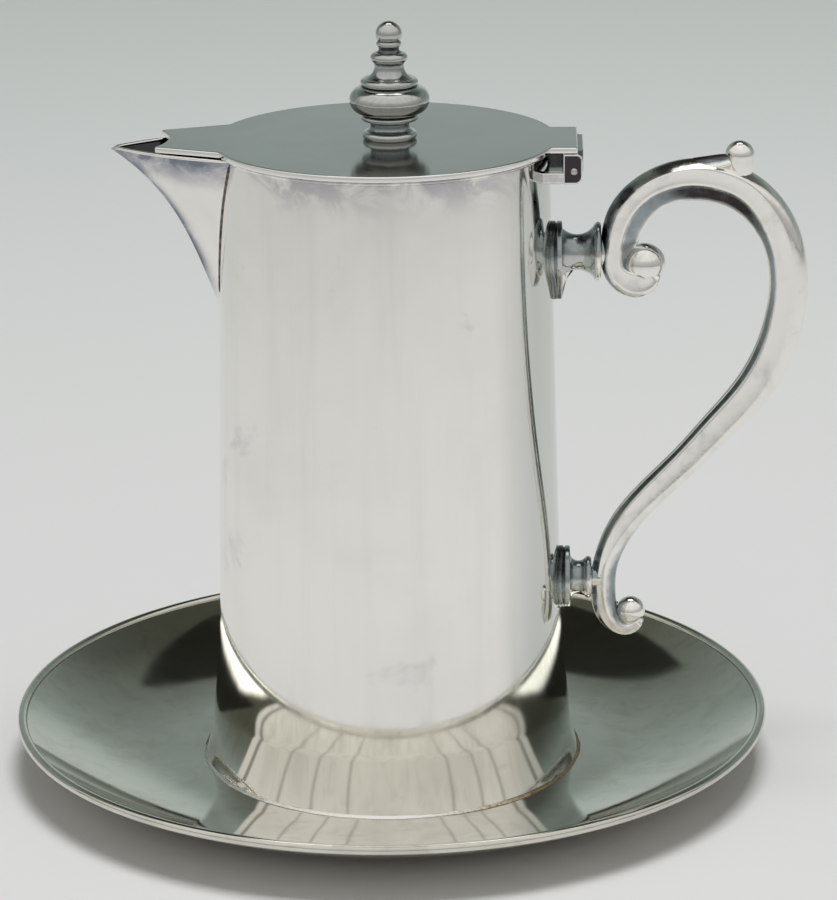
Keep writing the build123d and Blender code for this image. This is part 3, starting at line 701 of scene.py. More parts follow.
def handle_scroll():
    """The scroll: its section carried along the spline from the lower curl to the upper one, thinner towards
    the lower end, and closed to a point at each end."""
    path = smooth_path(scroll, 520)
    outward = outward_of(path)
    drop = upper_axis_z - mounts["lower"]["axis"]
    share = np.clip(1 + path[:, 1] / drop, 0, 1)
    thick = lower_half_thickness * (1 - share) + upper_half_thickness * share
    place = np.linspace(0, 1, len(path))
    marks = length_along(scroll[:, :2])
    form = np.stack([np.interp(place, marks / marks[-1], section[:, k]) for k in range(6)], -1)
    end = np.sqrt(np.clip(1 - np.clip(1 - place / 0.01, 0, 1) ** 2, 0, 1)) * np.sqrt(
        np.clip(1 - np.clip(1 - (1 - place) / 0.01, 0, 1) ** 2, 0, 1))
    out, across, depth = handle_section(form)
    out = np.concatenate([out, out[:, -2:0:-1]], axis=1)
    across = np.concatenate([across, -across[:, -2:0:-1]], axis=1)
    depth = np.concatenate([depth, depth[:, -2:0:-1]], axis=1)
    width = (path[:, 2] * end)[:, None] * out
    x = seat_x + path[:, :1] + outward[:, :1] * width
    z = upper_axis_z + path[:, 1:2] + outward[:, 1:] * width
    y = (thick * end)[:, None] * across
    return capped("handle_scroll", np.stack([x, y, z], -1), False, depth)


def ball(name, out, up, radius, squash=1.0):
    """A ball on the handle's middle plane, squashed across the handle."""
    turn = np.linspace(0, math.pi, 33)
    profile = np.stack([radius * np.sin(turn), -radius * np.cos(turn)], -1)
    piece = turned(name, profile, 48)
    points = np.zeros(len(piece.data.vertices) * 3)
    piece.data.vertices.foreach_get("co", points)
    points = points.reshape(-1, 3) * [1, squash, 1] + [seat_x + out, 0, upper_axis_z + up]
    piece.data.vertices.foreach_set("co", points.ravel())
    piece.data.update()
    return piece


def thumb_tail():
    """The thumb rest's tail: a strand that rises off the back of the scroll and runs into the stalk."""
    stations = np.array([
        (8.0, 13.1, 0.8, 1.8), (12.0, 14.8, 1.5, 2.6), (16.0, 15.9, 1.9, 2.9), (20.0, 16.5, 1.95, 2.9),
        (23.0, 17.15, 1.7, 2.5), (25.8, 17.9, 1.0, 1.6),
    ]) * MM
    path = smooth_path(stations, 90)
    outward = outward_of(path)
    end = np.sqrt(np.clip(1 - np.linspace(-1, 1, 90) ** 20, 0, 1))[:, None]
    angle = ring_angles(48)
    out = np.sign(np.cos(angle)) * np.abs(np.cos(angle)) ** 1.3
    side = np.sign(np.sin(angle)) * np.abs(np.sin(angle)) ** 1.3
    x = seat_x + path[:, :1] + outward[:, :1] * path[:, 2:3] * end * out
    z = upper_axis_z + path[:, 1:2] + outward[:, 1:] * path[:, 2:3] * end * out
    y = path[:, 3:4] * end * side
    # Painted shade along the top of the strand, darkest at its crest.
    recess = np.clip(-1.25 * np.cos(angle), 0, 1) ** 3
    return capped("handle_thumb_tail", np.stack([x, y, z], -1), False, recess)


def thumb_ball():
    """The thumb rest's stalk and ball, turned about an upright axis."""
    radius, out, up = 2.75 * MM, 25.8 * MM, 18.65 * MM
    start = -0.15
    neck = (radius * math.cos(start), up + radius * math.sin(start))
    stalk = arc((1.5 * MM, up - 6.2 * MM), (2.5 * MM, up - 2.9 * MM), neck, 14)
    angle = np.linspace(start, math.pi / 2, 28)
    sphere = np.stack([radius * np.cos(angle), up + radius * np.sin(angle)], -1)
    profile = joined([(0, up - 6.2 * MM)], stalk, sphere)
    profile[-1, 0] = 0
    # Painted shade: the hollow where the stalk meets the ball is marked dark.
    return turned("handle_thumb_ball", profile + [0, upper_axis_z], 64, (seat_x + out, 0), reach=1.2 * MM)


def handle_seat(side_name):
    """The short round pad that joins the back of the scroll to a collar."""
    mount = mounts[side_name]
    radius = (3.0 if side_name == "upper" else 2.0) * MM
    start = mount["collar_end"]
    side = line((radius, start), (radius, start + 2.0 * MM), 5)
    profile = joined([(0, start)], side, [(0, start + 2.4 * MM)])
    return lying("handle_seat_" + side_name, profile, mount["axis"])


def collar(side_name):
    """The collar between post and handle, a disc with a rounded rim."""
    mount = mounts[side_name]
    radius, start, end = mount["collar_radius"], mount["collar_start"], mount["collar_end"]
    middle, roll = (start + end) / 2, (end - start) / 2
    rim = arc((radius - roll, start), (radius, middle), (radius - roll, end), 15)
    profile = joined([(0, start)], rim, [(0, end)])
    return lying(side_name + "_collar", profile, mount["axis"])


def plate_outline(radius, tail, count=160):
    """Distance from a mount's axis to the edge of its plate for each angle from straight up: a circle, or its
    hull with a small circle at the end of the tail."""
    angle = ring_angles(count)
    if tail <= radius * 1.05:
        return angle, np.full(count, radius)
    tip = 0.8 * MM
    reach = tail - tip
    lean = math.acos((radius - tip) / reach)
    direction = np.stack([np.sin(angle), -np.cos(angle)], -1)
    slant = np.full(count, radius)
    for side in (1, -1):
        normal = np.array([side * math.sin(lean), math.cos(lean)])
        facing = direction @ normal
        along = np.arctan2(np.abs(direction[:, 0]), direction[:, 1])
        between = (along < lean) & (np.sign(direction[:, 0] + 1e-9) == side)
        slant = np.where(between, radius / np.maximum(facing, 1e-3), slant)
    below = direction[:, 1]
    inside = np.clip(tip ** 2 - (reach * direction[:, 0]) ** 2, 0, None)
    tip_edge = np.where((below > 0) & (inside > 0), reach * below + np.sqrt(inside), 0)
    tip_touch = math.atan2(tip * math.sin(lean), reach + tip * math.cos(lean))
    at_tip = np.arctan2(np.abs(direction[:, 0]), below) < tip_touch
    return angle, np.where(at_tip, tip_edge, slant)


def escutcheon(side_name):
    """The plate soldered to the tube: its outline laid on the tube's curve, with softened edges."""
    mount = mounts[side_name]
    angle, edge_at = plate_outline(mount["plate_radius"], mount["tail"])
    thick, soft = 0.8 * MM, 0.22 * MM
    rows = []
    layers = [(0.0, 1, thick), (0.5, 1, thick), (0.9, 1, thick)]
    layers += [(1.0, soft * (1 - math.sin(t)), thick - soft * (1 - math.cos(t)))
               for t in np.linspace(0, math.pi / 2, 5)]
    layers += [(1.0, 0, -0.05 * MM), (0.0, 0, -0.05 * MM)]
    for scale, inset, lift in layers:
        reach = edge_at * scale if scale < 1 else edge_at - inset
        y, z = reach * np.sin(angle), mount["axis"] + reach * np.cos(angle)
        radius = tube_radius(z) + lift
        rows.append(np.stack([np.sqrt(radius ** 2 - y ** 2), y, z], -1))
    # Painted shade: the whole plate is marked a little dark, and darker over its top.
    return capped(side_name + "_mount_escutcheon", rows, True, 0.3 + painted_dark_top(angle))


def post(side_name):
    """The turned post: a flat plate of the escutcheon's outline, then a round waist that flares to the
    collar. The radius blends from the plate's outline to a circle."""
    mount = mounts[side_name]
    angle, edge_at = plate_outline(mount["plate_radius"], mount["tail"])
    plate_start = tube_radius(mount["axis"]) + 0.8 * MM
    plate_end = plate_start + 1.1 * MM
    waist = (3.4 if side_name == "upper" else 3.25) * MM
    soft = 0.3 * MM
    end_radius = mount["collar_radius"] - 0.35 * MM
    start_radius = waist + 1.2 * MM
    end = mount["collar_start"]
    middle = plate_end + 0.38 * (end - plate_end)
    waist_line = arc((start_radius, plate_end), (waist, middle), (end_radius, end), 26)
    rows = []

    def ring(radius, x):
        radius = np.broadcast_to(radius, angle.shape)
        y, z = radius * np.sin(angle), mount["axis"] + radius * np.cos(angle)
        rows.append(np.stack([np.full_like(angle, x), y, z], -1))

    low_x = np.sqrt(tube_radius(mount["axis"]) ** 2 - mount["plate_radius"] ** 2)
    ring(0.0, low_x + 0.5 * MM)
    ring(edge_at - soft, low_x + 0.5 * MM)
    for turn in np.linspace(0, math.pi / 2, 4):
        ring(edge_at - soft * (1 - math.sin(turn)), plate_start + soft * (1 - math.cos(turn)))
    for turn in np.linspace(0, math.pi / 2, 5):
        ring(edge_at - soft * (1 - math.cos(turn)), plate_end - soft * (1 - math.sin(turn)))
    ring(0.5 * (edge_at - soft) + 0.5 * start_radius, plate_end)
    for radius, x in waist_line:
        ring(radius, x)
    ring(end_radius * 0.7, end)
    ring(0.0, end)
    # Painted shade over the top of the post.
    return capped(side_name + "_mount_post", rows, True, painted_dark_top(angle))


def tail_web():
    """The thin web that runs down from the upper post to the tail of its plate."""
    mount = mounts["upper"]
    start = tube_radius(mount["axis"]) + 1.6 * MM
    top = mount["axis"] - 2.6 * MM
    tip = mount["axis"] - mount["tail"] + 0.9 * MM
    foot, crown = (start + 0.5 * MM, tip), (start + 3.0 * MM, top)
    middle = (start + 1.1 * MM, (tip + top) / 2 - 0.4 * MM)
    outline = joined(line((start, tip), foot, 3), arc(foot, middle, crown, 12),
                     line(crown, (start, top), 6), line((start, top), (start, tip), 6))
    return drawn_out("upper_mount_web", outline[:-1], -0.9 * MM, 0.9 * MM, 0.35 * MM)


# The hinge

def soft_box(start, end, bottom, top, radii, steps):
    """Outline of a bar's side, a rectangle with rounded corners, from the lower left one on."""
    return eased([(start, bottom), (end, bottom), (end, top), (start, top)], [r * MM for r in radii], steps)


def hinge_cheek(side):
    """The round-cornered block of one cheek of the bracket, through which the pin goes."""
    end, top, bottom = bracket_high[0], bracket_high[2], bracket_low[2]
    outline = soft_box(end - 3.6 * MM, end, bottom, top, (0.4, 1.4, 1.2, 0.4), 8)
    ends = sorted((side * tab_half_width, side * (tab_half_width - 1.9 * MM)))
    # Painted shade: the cheek's faces are marked fully dark.
    return drawn_out("hinge_cheek_" + near_or_far(side), outline, *ends, 0.22 * MM, 1.0)


def hinge_arm(side):
    """The low arm that runs from a cheek back to the tube."""
    back, end, bottom = bracket_low[0] - 0.6 * MM, bracket_high[0] - 1.5 * MM, bracket_low[2] + 0.02 * MM
    outline = soft_box(back, end, bottom, bottom + 2.1 * MM, [0.3] * 4, 5)
    ends = sorted((side * (tab_half_width - 0.06 * MM), side * (tab_half_width - 1.85 * MM)))
    # Painted shade: the arm's faces are marked a little dark.
    return drawn_out("hinge_arm_" + near_or_far(side), outline, *ends, 0.3 * MM, 0.2)


def hinge_shelf():
    """The shelf between the cheeks, soldered to the tube."""
    low, high = bracket_low[2], bracket_low[2] + 0.7 * MM
    outline = soft_box(bracket_low[0] - 0.5 * MM, pin_x - 1.3 * MM, low, high, [0.1] * 4, 3)
    reach = tab_half_width - 1.8 * MM
    # Painted shade: the shelf's faces are marked fully dark.
    return drawn_out("hinge_shelf", outline, -reach, reach, 0.1 * MM, 1.0)


def hinge_pin():
    """The pin with its two domed ends."""
    reach = pin_high[1]
    turn = np.linspace(0, math.pi / 2, 7)
    dome = 0.4 * MM
    head = np.stack([pin_radius * np.sin(turn), -reach + dome * (1 - np.cos(turn))], -1)
    profile = joined(head, line(head[-1], (pin_radius, reach - dome), 4), head[::-1] * [1, -1])
    angle = ring_angles(40)
    x, z = pin_x + profile[:, :1] * np.cos(angle), pin_z + profile[:, :1] * np.sin(angle)
    return capped("hinge_pin_rod", np.stack(np.broadcast_arrays(x, profile[:, 1:], z), -1))


def knuckle():
    """The knuckle under the tab: a barrel round the pin that runs straight up into the lid."""
    radius = 1.7 * MM
    reach = tab_half_width - 2.15 * MM
    angle = np.linspace(math.pi, 2 * math.pi, 21)
    barrel = np.stack([pin_x + radius * np.cos(angle), pin_z + radius * np.sin(angle)], -1)
    top = lid_bottom + 0.05 * MM
    corners = (pin_x + radius, top), (pin_x - radius, top)
    outline = joined(barrel, line(barrel[-1], corners[0], 6), line(*corners, 6),
                     line(corners[1], barrel[0], 6))
    return drawn_out("lid_knuckle_barrel", outline[:-1], -reach, reach, 0.2 * MM)


# Materials: one small class wraps a socket, so that maths on values reads as plain expressions

class Value:
    """A number that varies over a surface, with the sums that these finishes use."""

    def __init__(self, finish, socket):
        self.finish, self.socket = finish, socket

    def maths(self, kind, other=0.0, clamp=False):
        """This value and another through one step of shader maths."""
        return self.finish.maths(kind, self, other, clamp)

    def __add__(self, other):
        return self.maths("ADD", other)

    def __sub__(self, other):
        return self.maths("SUBTRACT", other)

    def __rsub__(self, other):
        return self.finish.maths("SUBTRACT", other, self)

    def __mul__(self, other):
        return self.maths("MULTIPLY", other)

    __radd__, __rmul__ = __add__, __mul__

    def clamped(self):
        """This value held between 0 and 1."""
        return self.maths("ADD", 0.0, True)

    def between(self, low, high):
        """0 below low, 1 above high, smooth between."""
        made = self.finish.node("ShaderNodeMapRange", {"interpolation_type": "SMOOTHSTEP"},
                                {"Value": self, "From Min": low, "From Max": high})
        return Value(self.finish, made.outputs["Result"])


class Nodes:
    """A tree of shader nodes, built node by node."""

    def __init__(self, owner, coordinate):
        owner.use_nodes = True
        self.tree = owner.node_tree
        self.tree.nodes.clear()
        self.place = self.node("ShaderNodeTexCoord").outputs[coordinate]
        split = self.node("ShaderNodeSeparateXYZ", {}, {0: self.place})
        self.x, self.y, self.z = (Value(self, split.outputs[i]) for i in range(3))

    def node(self, kind, settings=None, inputs=None):
        """A node of a kind, with its settings made first and then its sockets filled or linked."""
        made = self.tree.nodes.new(kind)
        for key, value in (settings or {}).items():
            if key == "stops":
                self.set_stops(made.color_ramp, value)
            else:
                setattr(made, key, value)
        for key, value in (inputs or {}).items():
            self.fill(made.inputs[key], value)
        return made

    def fill(self, socket, value):
        """Links a value or a socket to a socket, or sets the socket's own number or colour."""
        if isinstance(value, Value):
            self.tree.links.new(value.socket, socket)
        elif isinstance(value, bpy.types.NodeSocket):
            self.tree.links.new(value, socket)
        else:
            socket.default_value = value

    def set_stops(self, ramp, stops):
        """The stops of a ramp, as pairs of place and colour."""
        while len(ramp.elements) < len(stops):
            ramp.elements.new(0.5)
        for element, (position, colour) in zip(ramp.elements, stops):
            element.position, element.color = position, (*colour, 1)

    def maths(self, kind, first, second=0.0, clamp=False):
        """One step of shader maths on two values or numbers."""
        made = self.node("ShaderNodeMath", {"operation": kind, "use_clamp": clamp}, {0: first, 1: second})
        return Value(self, made.outputs[0])

    def ramp(self, value, stops):
        """A colour that follows a value from 0 to 1."""
        return self.node("ShaderNodeValToRGB", {"stops": stops}, {0: value}).outputs[0]

    def blend(self, share, first, second):
        """A colour between two, by a share."""
        sockets = {0: share, 6: colour_of(first), 7: colour_of(second)}
        return self.node("ShaderNodeMix", {"data_type": "RGBA"}, sockets).outputs[2]

    def round_about(self):
        """The angle round the upright axis, 0 at the handle."""
        return self.y.maths("ARCTAN2", self.x)


class Finish(Nodes):
    """One material on object coordinates."""

    def __init__(self, name):
        self.material = bpy.data.materials.new(name)
        super().__init__(self.material, "Object")
        self.surface = self.node("ShaderNodeBsdfPrincipled")
        self.node("ShaderNodeOutputMaterial", {}, {"Surface": self.surface.outputs[0]})

    def stretched(self, scale):
        """The place on the object, scaled along each axis."""
        return self.node("ShaderNodeMapping", {}, {"Vector": self.place, "Scale": scale}).outputs[0]

    def noise(self, scale, detail=4.0, roughness=0.55, distortion=0.0, at=None):
        """Cloudy noise, from about 0.25 to 0.75, over the object or over a given place."""
        sockets = {"Vector": at or self.place, "Scale": scale, "Detail": detail}
        sockets |= {"Roughness": roughness, "Distortion": distortion}
        return Value(self, self.node("ShaderNodeTexNoise", {}, sockets).outputs["Fac"])

    def recess(self):
        """The painted light mark kept with the mesh: painted shade, painted dark reflections and tarnish in
        hollows, and on the lid a painted highlight.
        """
        return Value(self, self.node("ShaderNodeAttribute", {"attribute_name": "recess"}).outputs["Fac"])

    def bump(self, height, strength, distance):
        """Surface relief from a value."""
        sockets = {"Height": height, "Strength": strength, "Distance": distance}
        self.set(Normal=self.node("ShaderNodeBump", {}, sockets).outputs[0])

    def set(self, **values):
        """Sets or links the surface's own sockets, with spaces written as underscores."""
        for key, value in values.items():
            self.fill(self.surface.inputs[key.replace("_", " ")], value)


def colour_of(value):
    """A colour with its alpha, or a link left as it is."""
    return (*value, 1) if isinstance(value, tuple) else value


def sheet_silver():
    """Polished silver plate on sheet: near white, faint cloudy tarnish, soft upright wipe marks, a patchy
    violet grey darkening in the band below the mouth that takes in the top of the spout, painted dark
    reflections towards the handle's side and the foot, and painted shade where the mesh is marked: dark along
    the spout's keel and top, near black inside it."""
    f = Finish("polished_silver_sheet")
    clouds = f.noise(30, 5, 0.6, 0.3).between(0.4, 0.75)
    wipes = f.noise(1, 5, 0.6, 0, f.stretched((150, 150, 7))).between(0.42, 0.8)
    # A patchy violet grey darkening, a little rougher, in the 9 mm below the mouth.
    mouth_band = f.z.between(mouth_height - 9 * MM, mouth_height) * f.noise(95, 5, 0.65, 0.6).between(0.42, 0.62)
    smudge = f.noise(55, 4, 0.6, 0.3).between(0.62, 0.72) * 0.35
    tone = f.blend(clouds * 0.6, (0.98, 0.96, 0.92), (0.87, 0.85, 0.81))
    tone = f.blend(wipes * 0.4, tone, (0.80, 0.78, 0.74))
    tone = f.blend((mouth_band * 0.8 + smudge).clamped(), tone, (0.50, 0.48, 0.52))
    # Painted reflection: darker towards the tube's side at the handle, where it mirrors the grey backdrop,
    # and a little towards the foot.
    painted_dark_reflection = (f.x.between(20 * MM, 29 * MM) * 0.75 + (1 - f.z.between(20 * MM, 50 * MM)) * 0.12).clamped()
    tone = f.blend(painted_dark_reflection, tone, (0.60, 0.62, 0.59))
    # Painted shade: where the mesh is marked the sheet goes blue-grey in patches, and near black where the
    # mark is full, as inside the spout.
    film = (f.recess() * (0.5 + f.noise(150, 5, 0.65, 0.8).between(0.3, 0.6) * 0.8)).clamped()
    tone = f.blend(film, tone, (0.20, 0.22, 0.28))
    tone = f.blend(f.recess().between(0.93, 0.98), tone, (0.05, 0.05, 0.055))
    f.set(Base_Color=tone, Metallic=1.0, Roughness=0.045 + clouds * 0.03 + wipes * 0.05 + mouth_band * 0.1)
    f.bump(f.noise(1, 2, 0.5, 0, f.stretched((55, 55, 16))), 0.1, 0.0005)
    return f.material


def lid_silver():
    """The lid's sheet: tarnished greyer than the body, with faint spots, and its outer edge painted near
    white as a highlight as well as wear.
    """
    f = Finish("worn_silver_lid")
    film = f.noise(28, 5, 0.6, 0.4).between(0.35, 0.75)
    spots = f.noise(260, 3, 0.6).between(0.68, 0.75)
    tone = f.blend(film, (0.40, 0.405, 0.385), (0.355, 0.36, 0.335))
    tone = f.blend(spots * 0.5, tone, (0.3, 0.29, 0.26))
    tone = f.blend(f.x.between(-5 * MM, 38 * MM) * 0.45, tone, (0.29, 0.30, 0.28))
    # Painted highlight and wear: the marked outer edge goes near white.
    tone = f.blend(f.recess(), tone, (1.0, 0.99, 0.97))
    f.set(Base_Color=tone, Metallic=1.0, Roughness=0.09 + film * 0.05)
    f.bump(f.noise(40, 3, 0.5), 0.05, 0.0004)
    return f.material


def dish_silver():
    """The underplate: darker, greenish film of tarnish, finely spotted, a little dull."""
    f = Finish("tarnished_silver_dish")
    film = f.noise(24, 5, 0.62, 0.5).between(0.35, 0.7)
    spots = f.noise(620, 3, 0.6).between(0.70, 0.76)
    mottle = f.noise(190, 5, 0.65, 0.6).between(0.45, 0.68)
    tone = f.blend(film, (0.75, 0.73, 0.665), (0.645, 0.635, 0.58))
    tone = f.blend(mottle * 0.3, tone, (0.46, 0.43, 0.36))
    tone = f.blend(spots * 0.5, tone, (0.82, 0.76, 0.64))
    f.set(Base_Color=tone, Metallic=1.0, Roughness=0.06 + film * 0.04)
    f.bump(f.noise(42, 2, 0.5), 0.16, 0.0005)
    return f.material


def cast_silver(name, bright, dull, dark):
    """Cast and turned silver: bright on its faces with faint smudges, and with painted shade where the mesh
    is marked, along with tarnish in the hollows: blue-grey where the mark starts and near black where it is
    full."""
    f = Finish(name)
    smudges = f.noise(190, 5, 0.62, 0.5).between(0.5, 0.72)
    streaks = f.noise(1, 5, 0.6, 0.3, f.stretched((160, 300, 90))).between(0.55, 0.75)
    cloud = f.noise(420, 4, 0.6)
    # Painted shade: the mesh's mark, broken up by noise, picks the blue-grey and the near black.
    hollow = (f.recess() + (cloud - 0.5) * 0.5) * f.recess().between(0.02, 0.2)
    tone = f.blend((smudges * 0.28 + streaks * 0.2).clamped(), bright, dull)
    tone = f.blend(hollow.between(0.05, 0.5), tone, (0.33, 0.37, 0.38))
    tone = f.blend(hollow.between(0.5, 0.95), tone, dark)
    f.set(Base_Color=tone, Metallic=1.0, Roughness=0.10 + hollow.clamped() * 0.2 + smudges * 0.1)
    f.bump(f.noise(450, 4, 0.6), 0.12, 0.0003)
    return f.material


def solder():
    """Solder at the foot: bright in front, golden brown towards the handle, pitted."""
    f = Finish("foot_solder_seam")
    side = f.round_about().between(-1.5, -0.6)
    pits = f.noise(1500, 4, 0.7).between(0.5, 0.62)
    tone = f.blend(side, (0.95, 0.92, 0.88), (0.52, 0.38, 0.22))
    tone = f.blend(pits * side, tone, (0.2, 0.14, 0.09))
    f.set(Base_Color=tone, Metallic=1.0, Roughness=0.28)
    f.bump(f.noise(1400, 3, 0.6), 0.5, 0.0002)
    return f.material


def seam_metal():
    """Old solder and dirt in the spout's seam: dark and rough."""
    f = Finish("dark_solder_seam")
    dirt = f.noise(700, 4, 0.6).between(0.35, 0.6)
    f.set(Base_Color=f.blend(dirt, (0.24, 0.22, 0.2), (0.06, 0.055, 0.05)), Metallic=0.7, Roughness=0.45)
    return f.material


def nickel():
    """Plain nickel silver for the nut, the washer and the pin, finely brushed."""
    f = Finish("plain_nickel")
    grain = f.noise(1, 3, 0.6, 0, f.stretched((900, 900, 90)))
    tone = f.blend(grain.between(0.3, 0.7), (0.7, 0.68, 0.64), (0.54, 0.52, 0.48))
    f.set(Base_Color=tone, Metallic=1.0, Roughness=0.2 + grain * 0.15)
    return f.material


def inside_silver():
    """The vessel's bottom inside, dull from use."""
    f = Finish("dull_inner_silver")
    film = f.noise(60, 4, 0.6).between(0.35, 0.7)
    tone = f.blend(film, (0.66, 0.63, 0.58), (0.42, 0.39, 0.34))
    f.set(Base_Color=tone, Metallic=1.0, Roughness=0.28 + film * 0.12)
    return f.material


# Making and placing the pieces

def fitted(piece, material, slot, *stood_for, body="pitcher"):
    """Puts a piece on its body, with its material and the solids that it stands for. The slot is not used."""
    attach(piece, body)
    if stood_for:
        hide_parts(*stood_for)
    piece.data.materials.append(material)
    return piece


sheet, dish, seam, plain = sheet_silver(), dish_silver(), seam_metal(), nickel()
casting = cast_silver("cast_silver", (0.96, 0.94, 0.90), (0.52, 0.49, 0.50), (0.07, 0.06, 0.07))
turned_cast = cast_silver("dull_turned_silver", (0.60, 0.61, 0.59), (0.30, 0.31, 0.31), (0.03, 0.03, 0.03))
# A near black copy of the cast silver: painted shade for the hinge pieces in the dark space under the lid's
# tab.
shaded_casting = cast_silver("painted_shade_cast_silver", (0.16, 0.15, 0.155), (0.07, 0.06, 0.065), (0.03, 0.03, 0.03))
fitted(underplate(), dish, "silver_plate", "underplate")
fitted(rim_wire(), dish, "silver_plate", "underplate_rim_wire")
fitted(body_tube(), sheet, "silver_plate", "body_shell")
fitted(foot_solder(), solder(), "solder", "foot_solder_ring")
fitted(mouth_wire(), sheet, "silver_plate", "body_rim_wire")
fitted(spout(), sheet, "silver_plate", "spout")
fitted(spout_lip(), casting, "silver_plate")
for seam_side in (1, -1):
    fitted(spout_seam(seam_side), seam, "solder")
fitted(lid_plate(), lid_silver(), "silver_plate", "lid_plate", body="lid")
fitted(finial(), turned_cast, "cast_silver", "finial", body="lid")
fitted(handle_scroll(), casting, "cast_silver", "handle")
fitted(thumb_tail(), casting, "cast_silver")
fitted(thumb_ball(), casting, "cast_silver")
fitted(ball("handle_upper_eye", 8.15 * MM, -2.4 * MM, 4.1 * MM, 0.9), casting, "cast_silver")
fitted(ball("handle_lower_eye", 6.1 * MM, -71.65 * MM, 2.8 * MM, 1.05), casting, "cast_silver")
for side_name in ("upper", "lower"):
    fitted(handle_seat(side_name), casting, "cast_silver")
    fitted(collar(side_name), casting, "cast_silver", side_name + "_handle_collar")
    fitted(escutcheon(side_name), turned_cast, "cast_silver", side_name + "_escutcheon")
    fitted(post(side_name), turned_cast, "cast_silver", side_name + "_handle_post")
fitted(tail_web(), casting, "cast_silver")
# Painted shade at the hinge: the near cheek and arm carry dark marks; the far cheek, far arm, shelf and
# knuckle take the near black copy.
fitted(hinge_cheek(-1), casting, "cast_silver", "hinge_bracket")
fitted(hinge_cheek(1), shaded_casting, "cast_silver")
fitted(hinge_arm(-1), casting, "cast_silver")
fitted(hinge_arm(1), shaded_casting, "cast_silver")
fitted(hinge_shelf(), shaded_casting, "cast_silver")
fitted(hinge_pin(), plain, "nickel", "hinge_pin")
fitted(knuckle(), shaded_casting, "cast_silver", "lid_knuckle", body="lid")
for node, finish in (("body_base", inside_silver()), ("finial_washer", plain), ("finial_nut", plain)):
    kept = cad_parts[node]
    kept.data.materials.clear()
    kept.data.materials.append(finish)


# Floor, backdrop, lights and camera

def floor():
    """Pale paper under the pitcher, a flat square that isn't part of the object."""
    f = Finish("pale_floor")
    # Painted shade: the paper is painted darker and greener towards the back, for the light falling off away
    # from the front.
    tone = f.blend(f.y.between(-0.1, 0.9), (0.84, 0.84, 0.84), (0.77, 0.815, 0.80))
    f.set(Base_Color=tone, Roughness=0.9, Specular_IOR_Level=0.1)
    half = 4.0
    mesh = bpy.data.meshes.new("floor")
    corners = [(-half, -half, 0), (half, -half, 0), (half, half, 0), (-half, half, 0)]
    mesh.from_pydata(corners, [], [(0, 1, 2, 3)])
    mesh.materials.append(f.material)
    piece = bpy.data.objects.new("floor", mesh)
    bpy.context.scene.collection.objects.link(piece)


def overhead_lamp():
    """A square soft lamp for the floor and its shadow, which polished surfaces don't mirror."""
    place, aim = Vector((0.12, -0.02, 1.5)), Vector((0, 0, 0.06))
    data = bpy.data.lights.new("shadow_lamp", "AREA")
    data.shape = "SQUARE"
    data.size = 0.6
    data.energy = 12.6
    lamp = bpy.data.objects.new("shadow_lamp", data)
    lamp.visible_glossy = False
    lamp.location = place
    lamp.rotation_euler = (aim - place).to_track_quat("-Z", "Y").to_euler()
    bpy.context.scene.collection.objects.link(lamp)


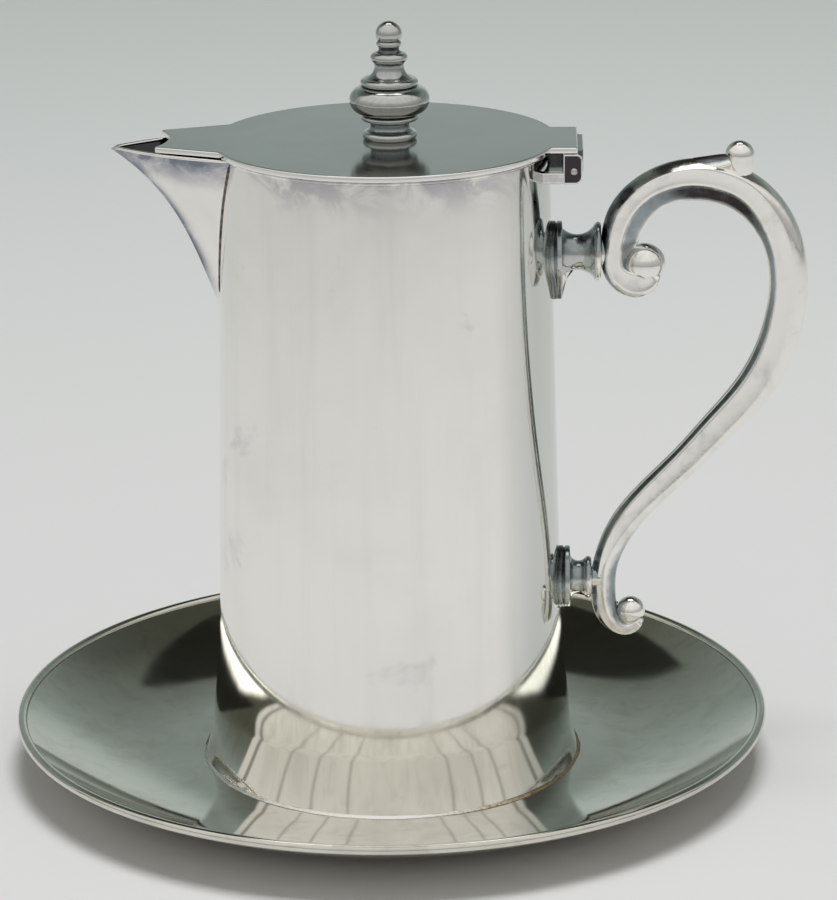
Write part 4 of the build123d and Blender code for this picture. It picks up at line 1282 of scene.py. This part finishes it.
def sky():
    """Light of the room: white panels from the left round the front to the right, with dark seams, a
    grey-green backdrop that darkens upwards behind, a black gap above it and a bright panel overhead.
    turn is the direction round the upright axis, 0 behind the object, and rise the height, in degrees."""
    world = bpy.data.worlds.new("room")
    bpy.context.scene.world = world
    w = Nodes(world, "Generated")
    to_degrees = 180 / math.pi
    rise = w.z.maths("ARCSINE") * to_degrees
    turn = w.x.maths("ARCTAN2", w.y) * to_degrees
    off = turn.maths("ABSOLUTE")
    backdrop = w.ramp(w.z, [
        (0.0, (0.56, 0.60, 0.59)), (0.12, (0.45, 0.51, 0.495)), (0.25, (0.37, 0.44, 0.42)),
        (0.34, (0.29, 0.345, 0.325)), (0.44, (0.22, 0.26, 0.245)), (0.6, (0.15, 0.17, 0.15)),
        (0.8, (0.085, 0.092, 0.068))])
    low_sides = off.between(12, 28) * (1 - rise.between(14, 24)) * 0.40
    high_right = turn.between(14, 30) * rise.between(26, 40) * 0.35
    backdrop = w.blend((low_sides + high_right).clamped(), backdrop, (0.02, 0.02, 0.02))
    glow = (1 - (turn - 4).maths("ABSOLUTE").between(3, 15)) * rise.between(4, 10)
    glow = glow * (1 - rise.between(14, 22))
    backdrop = w.blend(glow * 0.3, backdrop, (0.64, 0.70, 0.68))
    left, right = turn + rise * 0.9 - 4.2, rise * 1.1 - turn - 26.8
    gap = left.between(0, 2) * right.between(0, 2) * rise.between(34.5, 37) * (1 - rise.between(61, 64))
    backdrop = w.blend(gap * 0.92, backdrop, (0.012, 0.012, 0.010))
    panels = w.ramp(w.z, [
        (0.0, (0.40, 0.40, 0.39)), (0.26, (0.50, 0.50, 0.485)), (0.42, (0.72, 0.715, 0.69)),
        (0.8, (0.78, 0.775, 0.75)), (1.0, (0.9, 0.9, 0.88))])
    seams = 0.0
    for angle in (137, 118, 104, -106, -128, -152):
        seams = (1 - (turn - angle).maths("ABSOLUTE").between(0.6, 1.6)) + seams
    panels = w.blend(seams * 0.45, panels, (0.2, 0.19, 0.17))
    edge = off + w.z.between(0.75, 0.92) * 14
    dark_bar = edge.between(76, 77) * (1 - edge.between(79, 80))
    panels = w.blend(dark_bar * 0.7, panels, (0.12, 0.11, 0.10))
    shade = w.blend(edge.between(70, 72), backdrop, panels)
    overhead = w.z.between(0.86, 0.90) * w.x.between(-0.30, -0.22) * (1 - w.x.between(0.22, 0.28))
    shade = w.blend(overhead * w.y.between(0.22, 0.27), shade, (2.2, 2.2, 2.15))
    seen = seen_directly(w)
    back = w.node("ShaderNodeBackground", {}, {"Color": shade, "Strength": seen * 0.5 + 0.5})
    w.node("ShaderNodeOutputWorld", {}, {0: back.outputs[0]})


def seen_directly(w):
    """1 where the camera or a polished surface looks, 0 for the light that falls on the floor."""
    ray = w.node("ShaderNodeLightPath")
    camera_ray, glossy_ray = (Value(w, ray.outputs[name]) for name in ("Is Camera Ray", "Is Glossy Ray"))
    return camera_ray.maths("MAXIMUM", glossy_ray)


def camera():
    """The photograph's viewpoint, from its distance, height, bearing and tilt."""
    distance, height, bearing = 0.67886, 0.27497, math.radians(2.4)
    pitch, yaw, roll = 0.30421, 0.00846, -0.0102
    focal_pixels, long_side, sensor = 3709.3, 900, 36.0
    back = np.array([math.sin(bearing), -math.cos(bearing), 0])
    side = np.array([math.cos(bearing), math.sin(bearing), 0])
    ahead = -back * math.cos(yaw) + side * math.sin(yaw)
    look = ahead * math.cos(pitch) - np.array([0, 0, math.sin(pitch)])
    right = side * math.cos(yaw) + back * math.sin(yaw)
    up = np.cross(right, look)
    right_rolled = right * math.cos(roll) + up * math.sin(roll)
    up_rolled = -right * math.sin(roll) + up * math.cos(roll)
    data = bpy.data.cameras.new("camera")
    data.sensor_width = sensor
    data.lens = focal_pixels / long_side * sensor
    data.clip_start, data.clip_end = 0.01, 50
    eye = bpy.data.objects.new("camera", data)
    place = distance * back + np.array([0, 0, height])
    eye.matrix_world = Matrix([
        [right_rolled[i], up_rolled[i], -look[i], place[i]] for i in range(3)] + [[0, 0, 0, 1]])
    bpy.context.scene.collection.objects.link(eye)
    bpy.context.scene.camera = eye


floor()
overhead_lamp()
sky()
camera()
bpy.context.scene.view_settings.view_transform = "Standard"
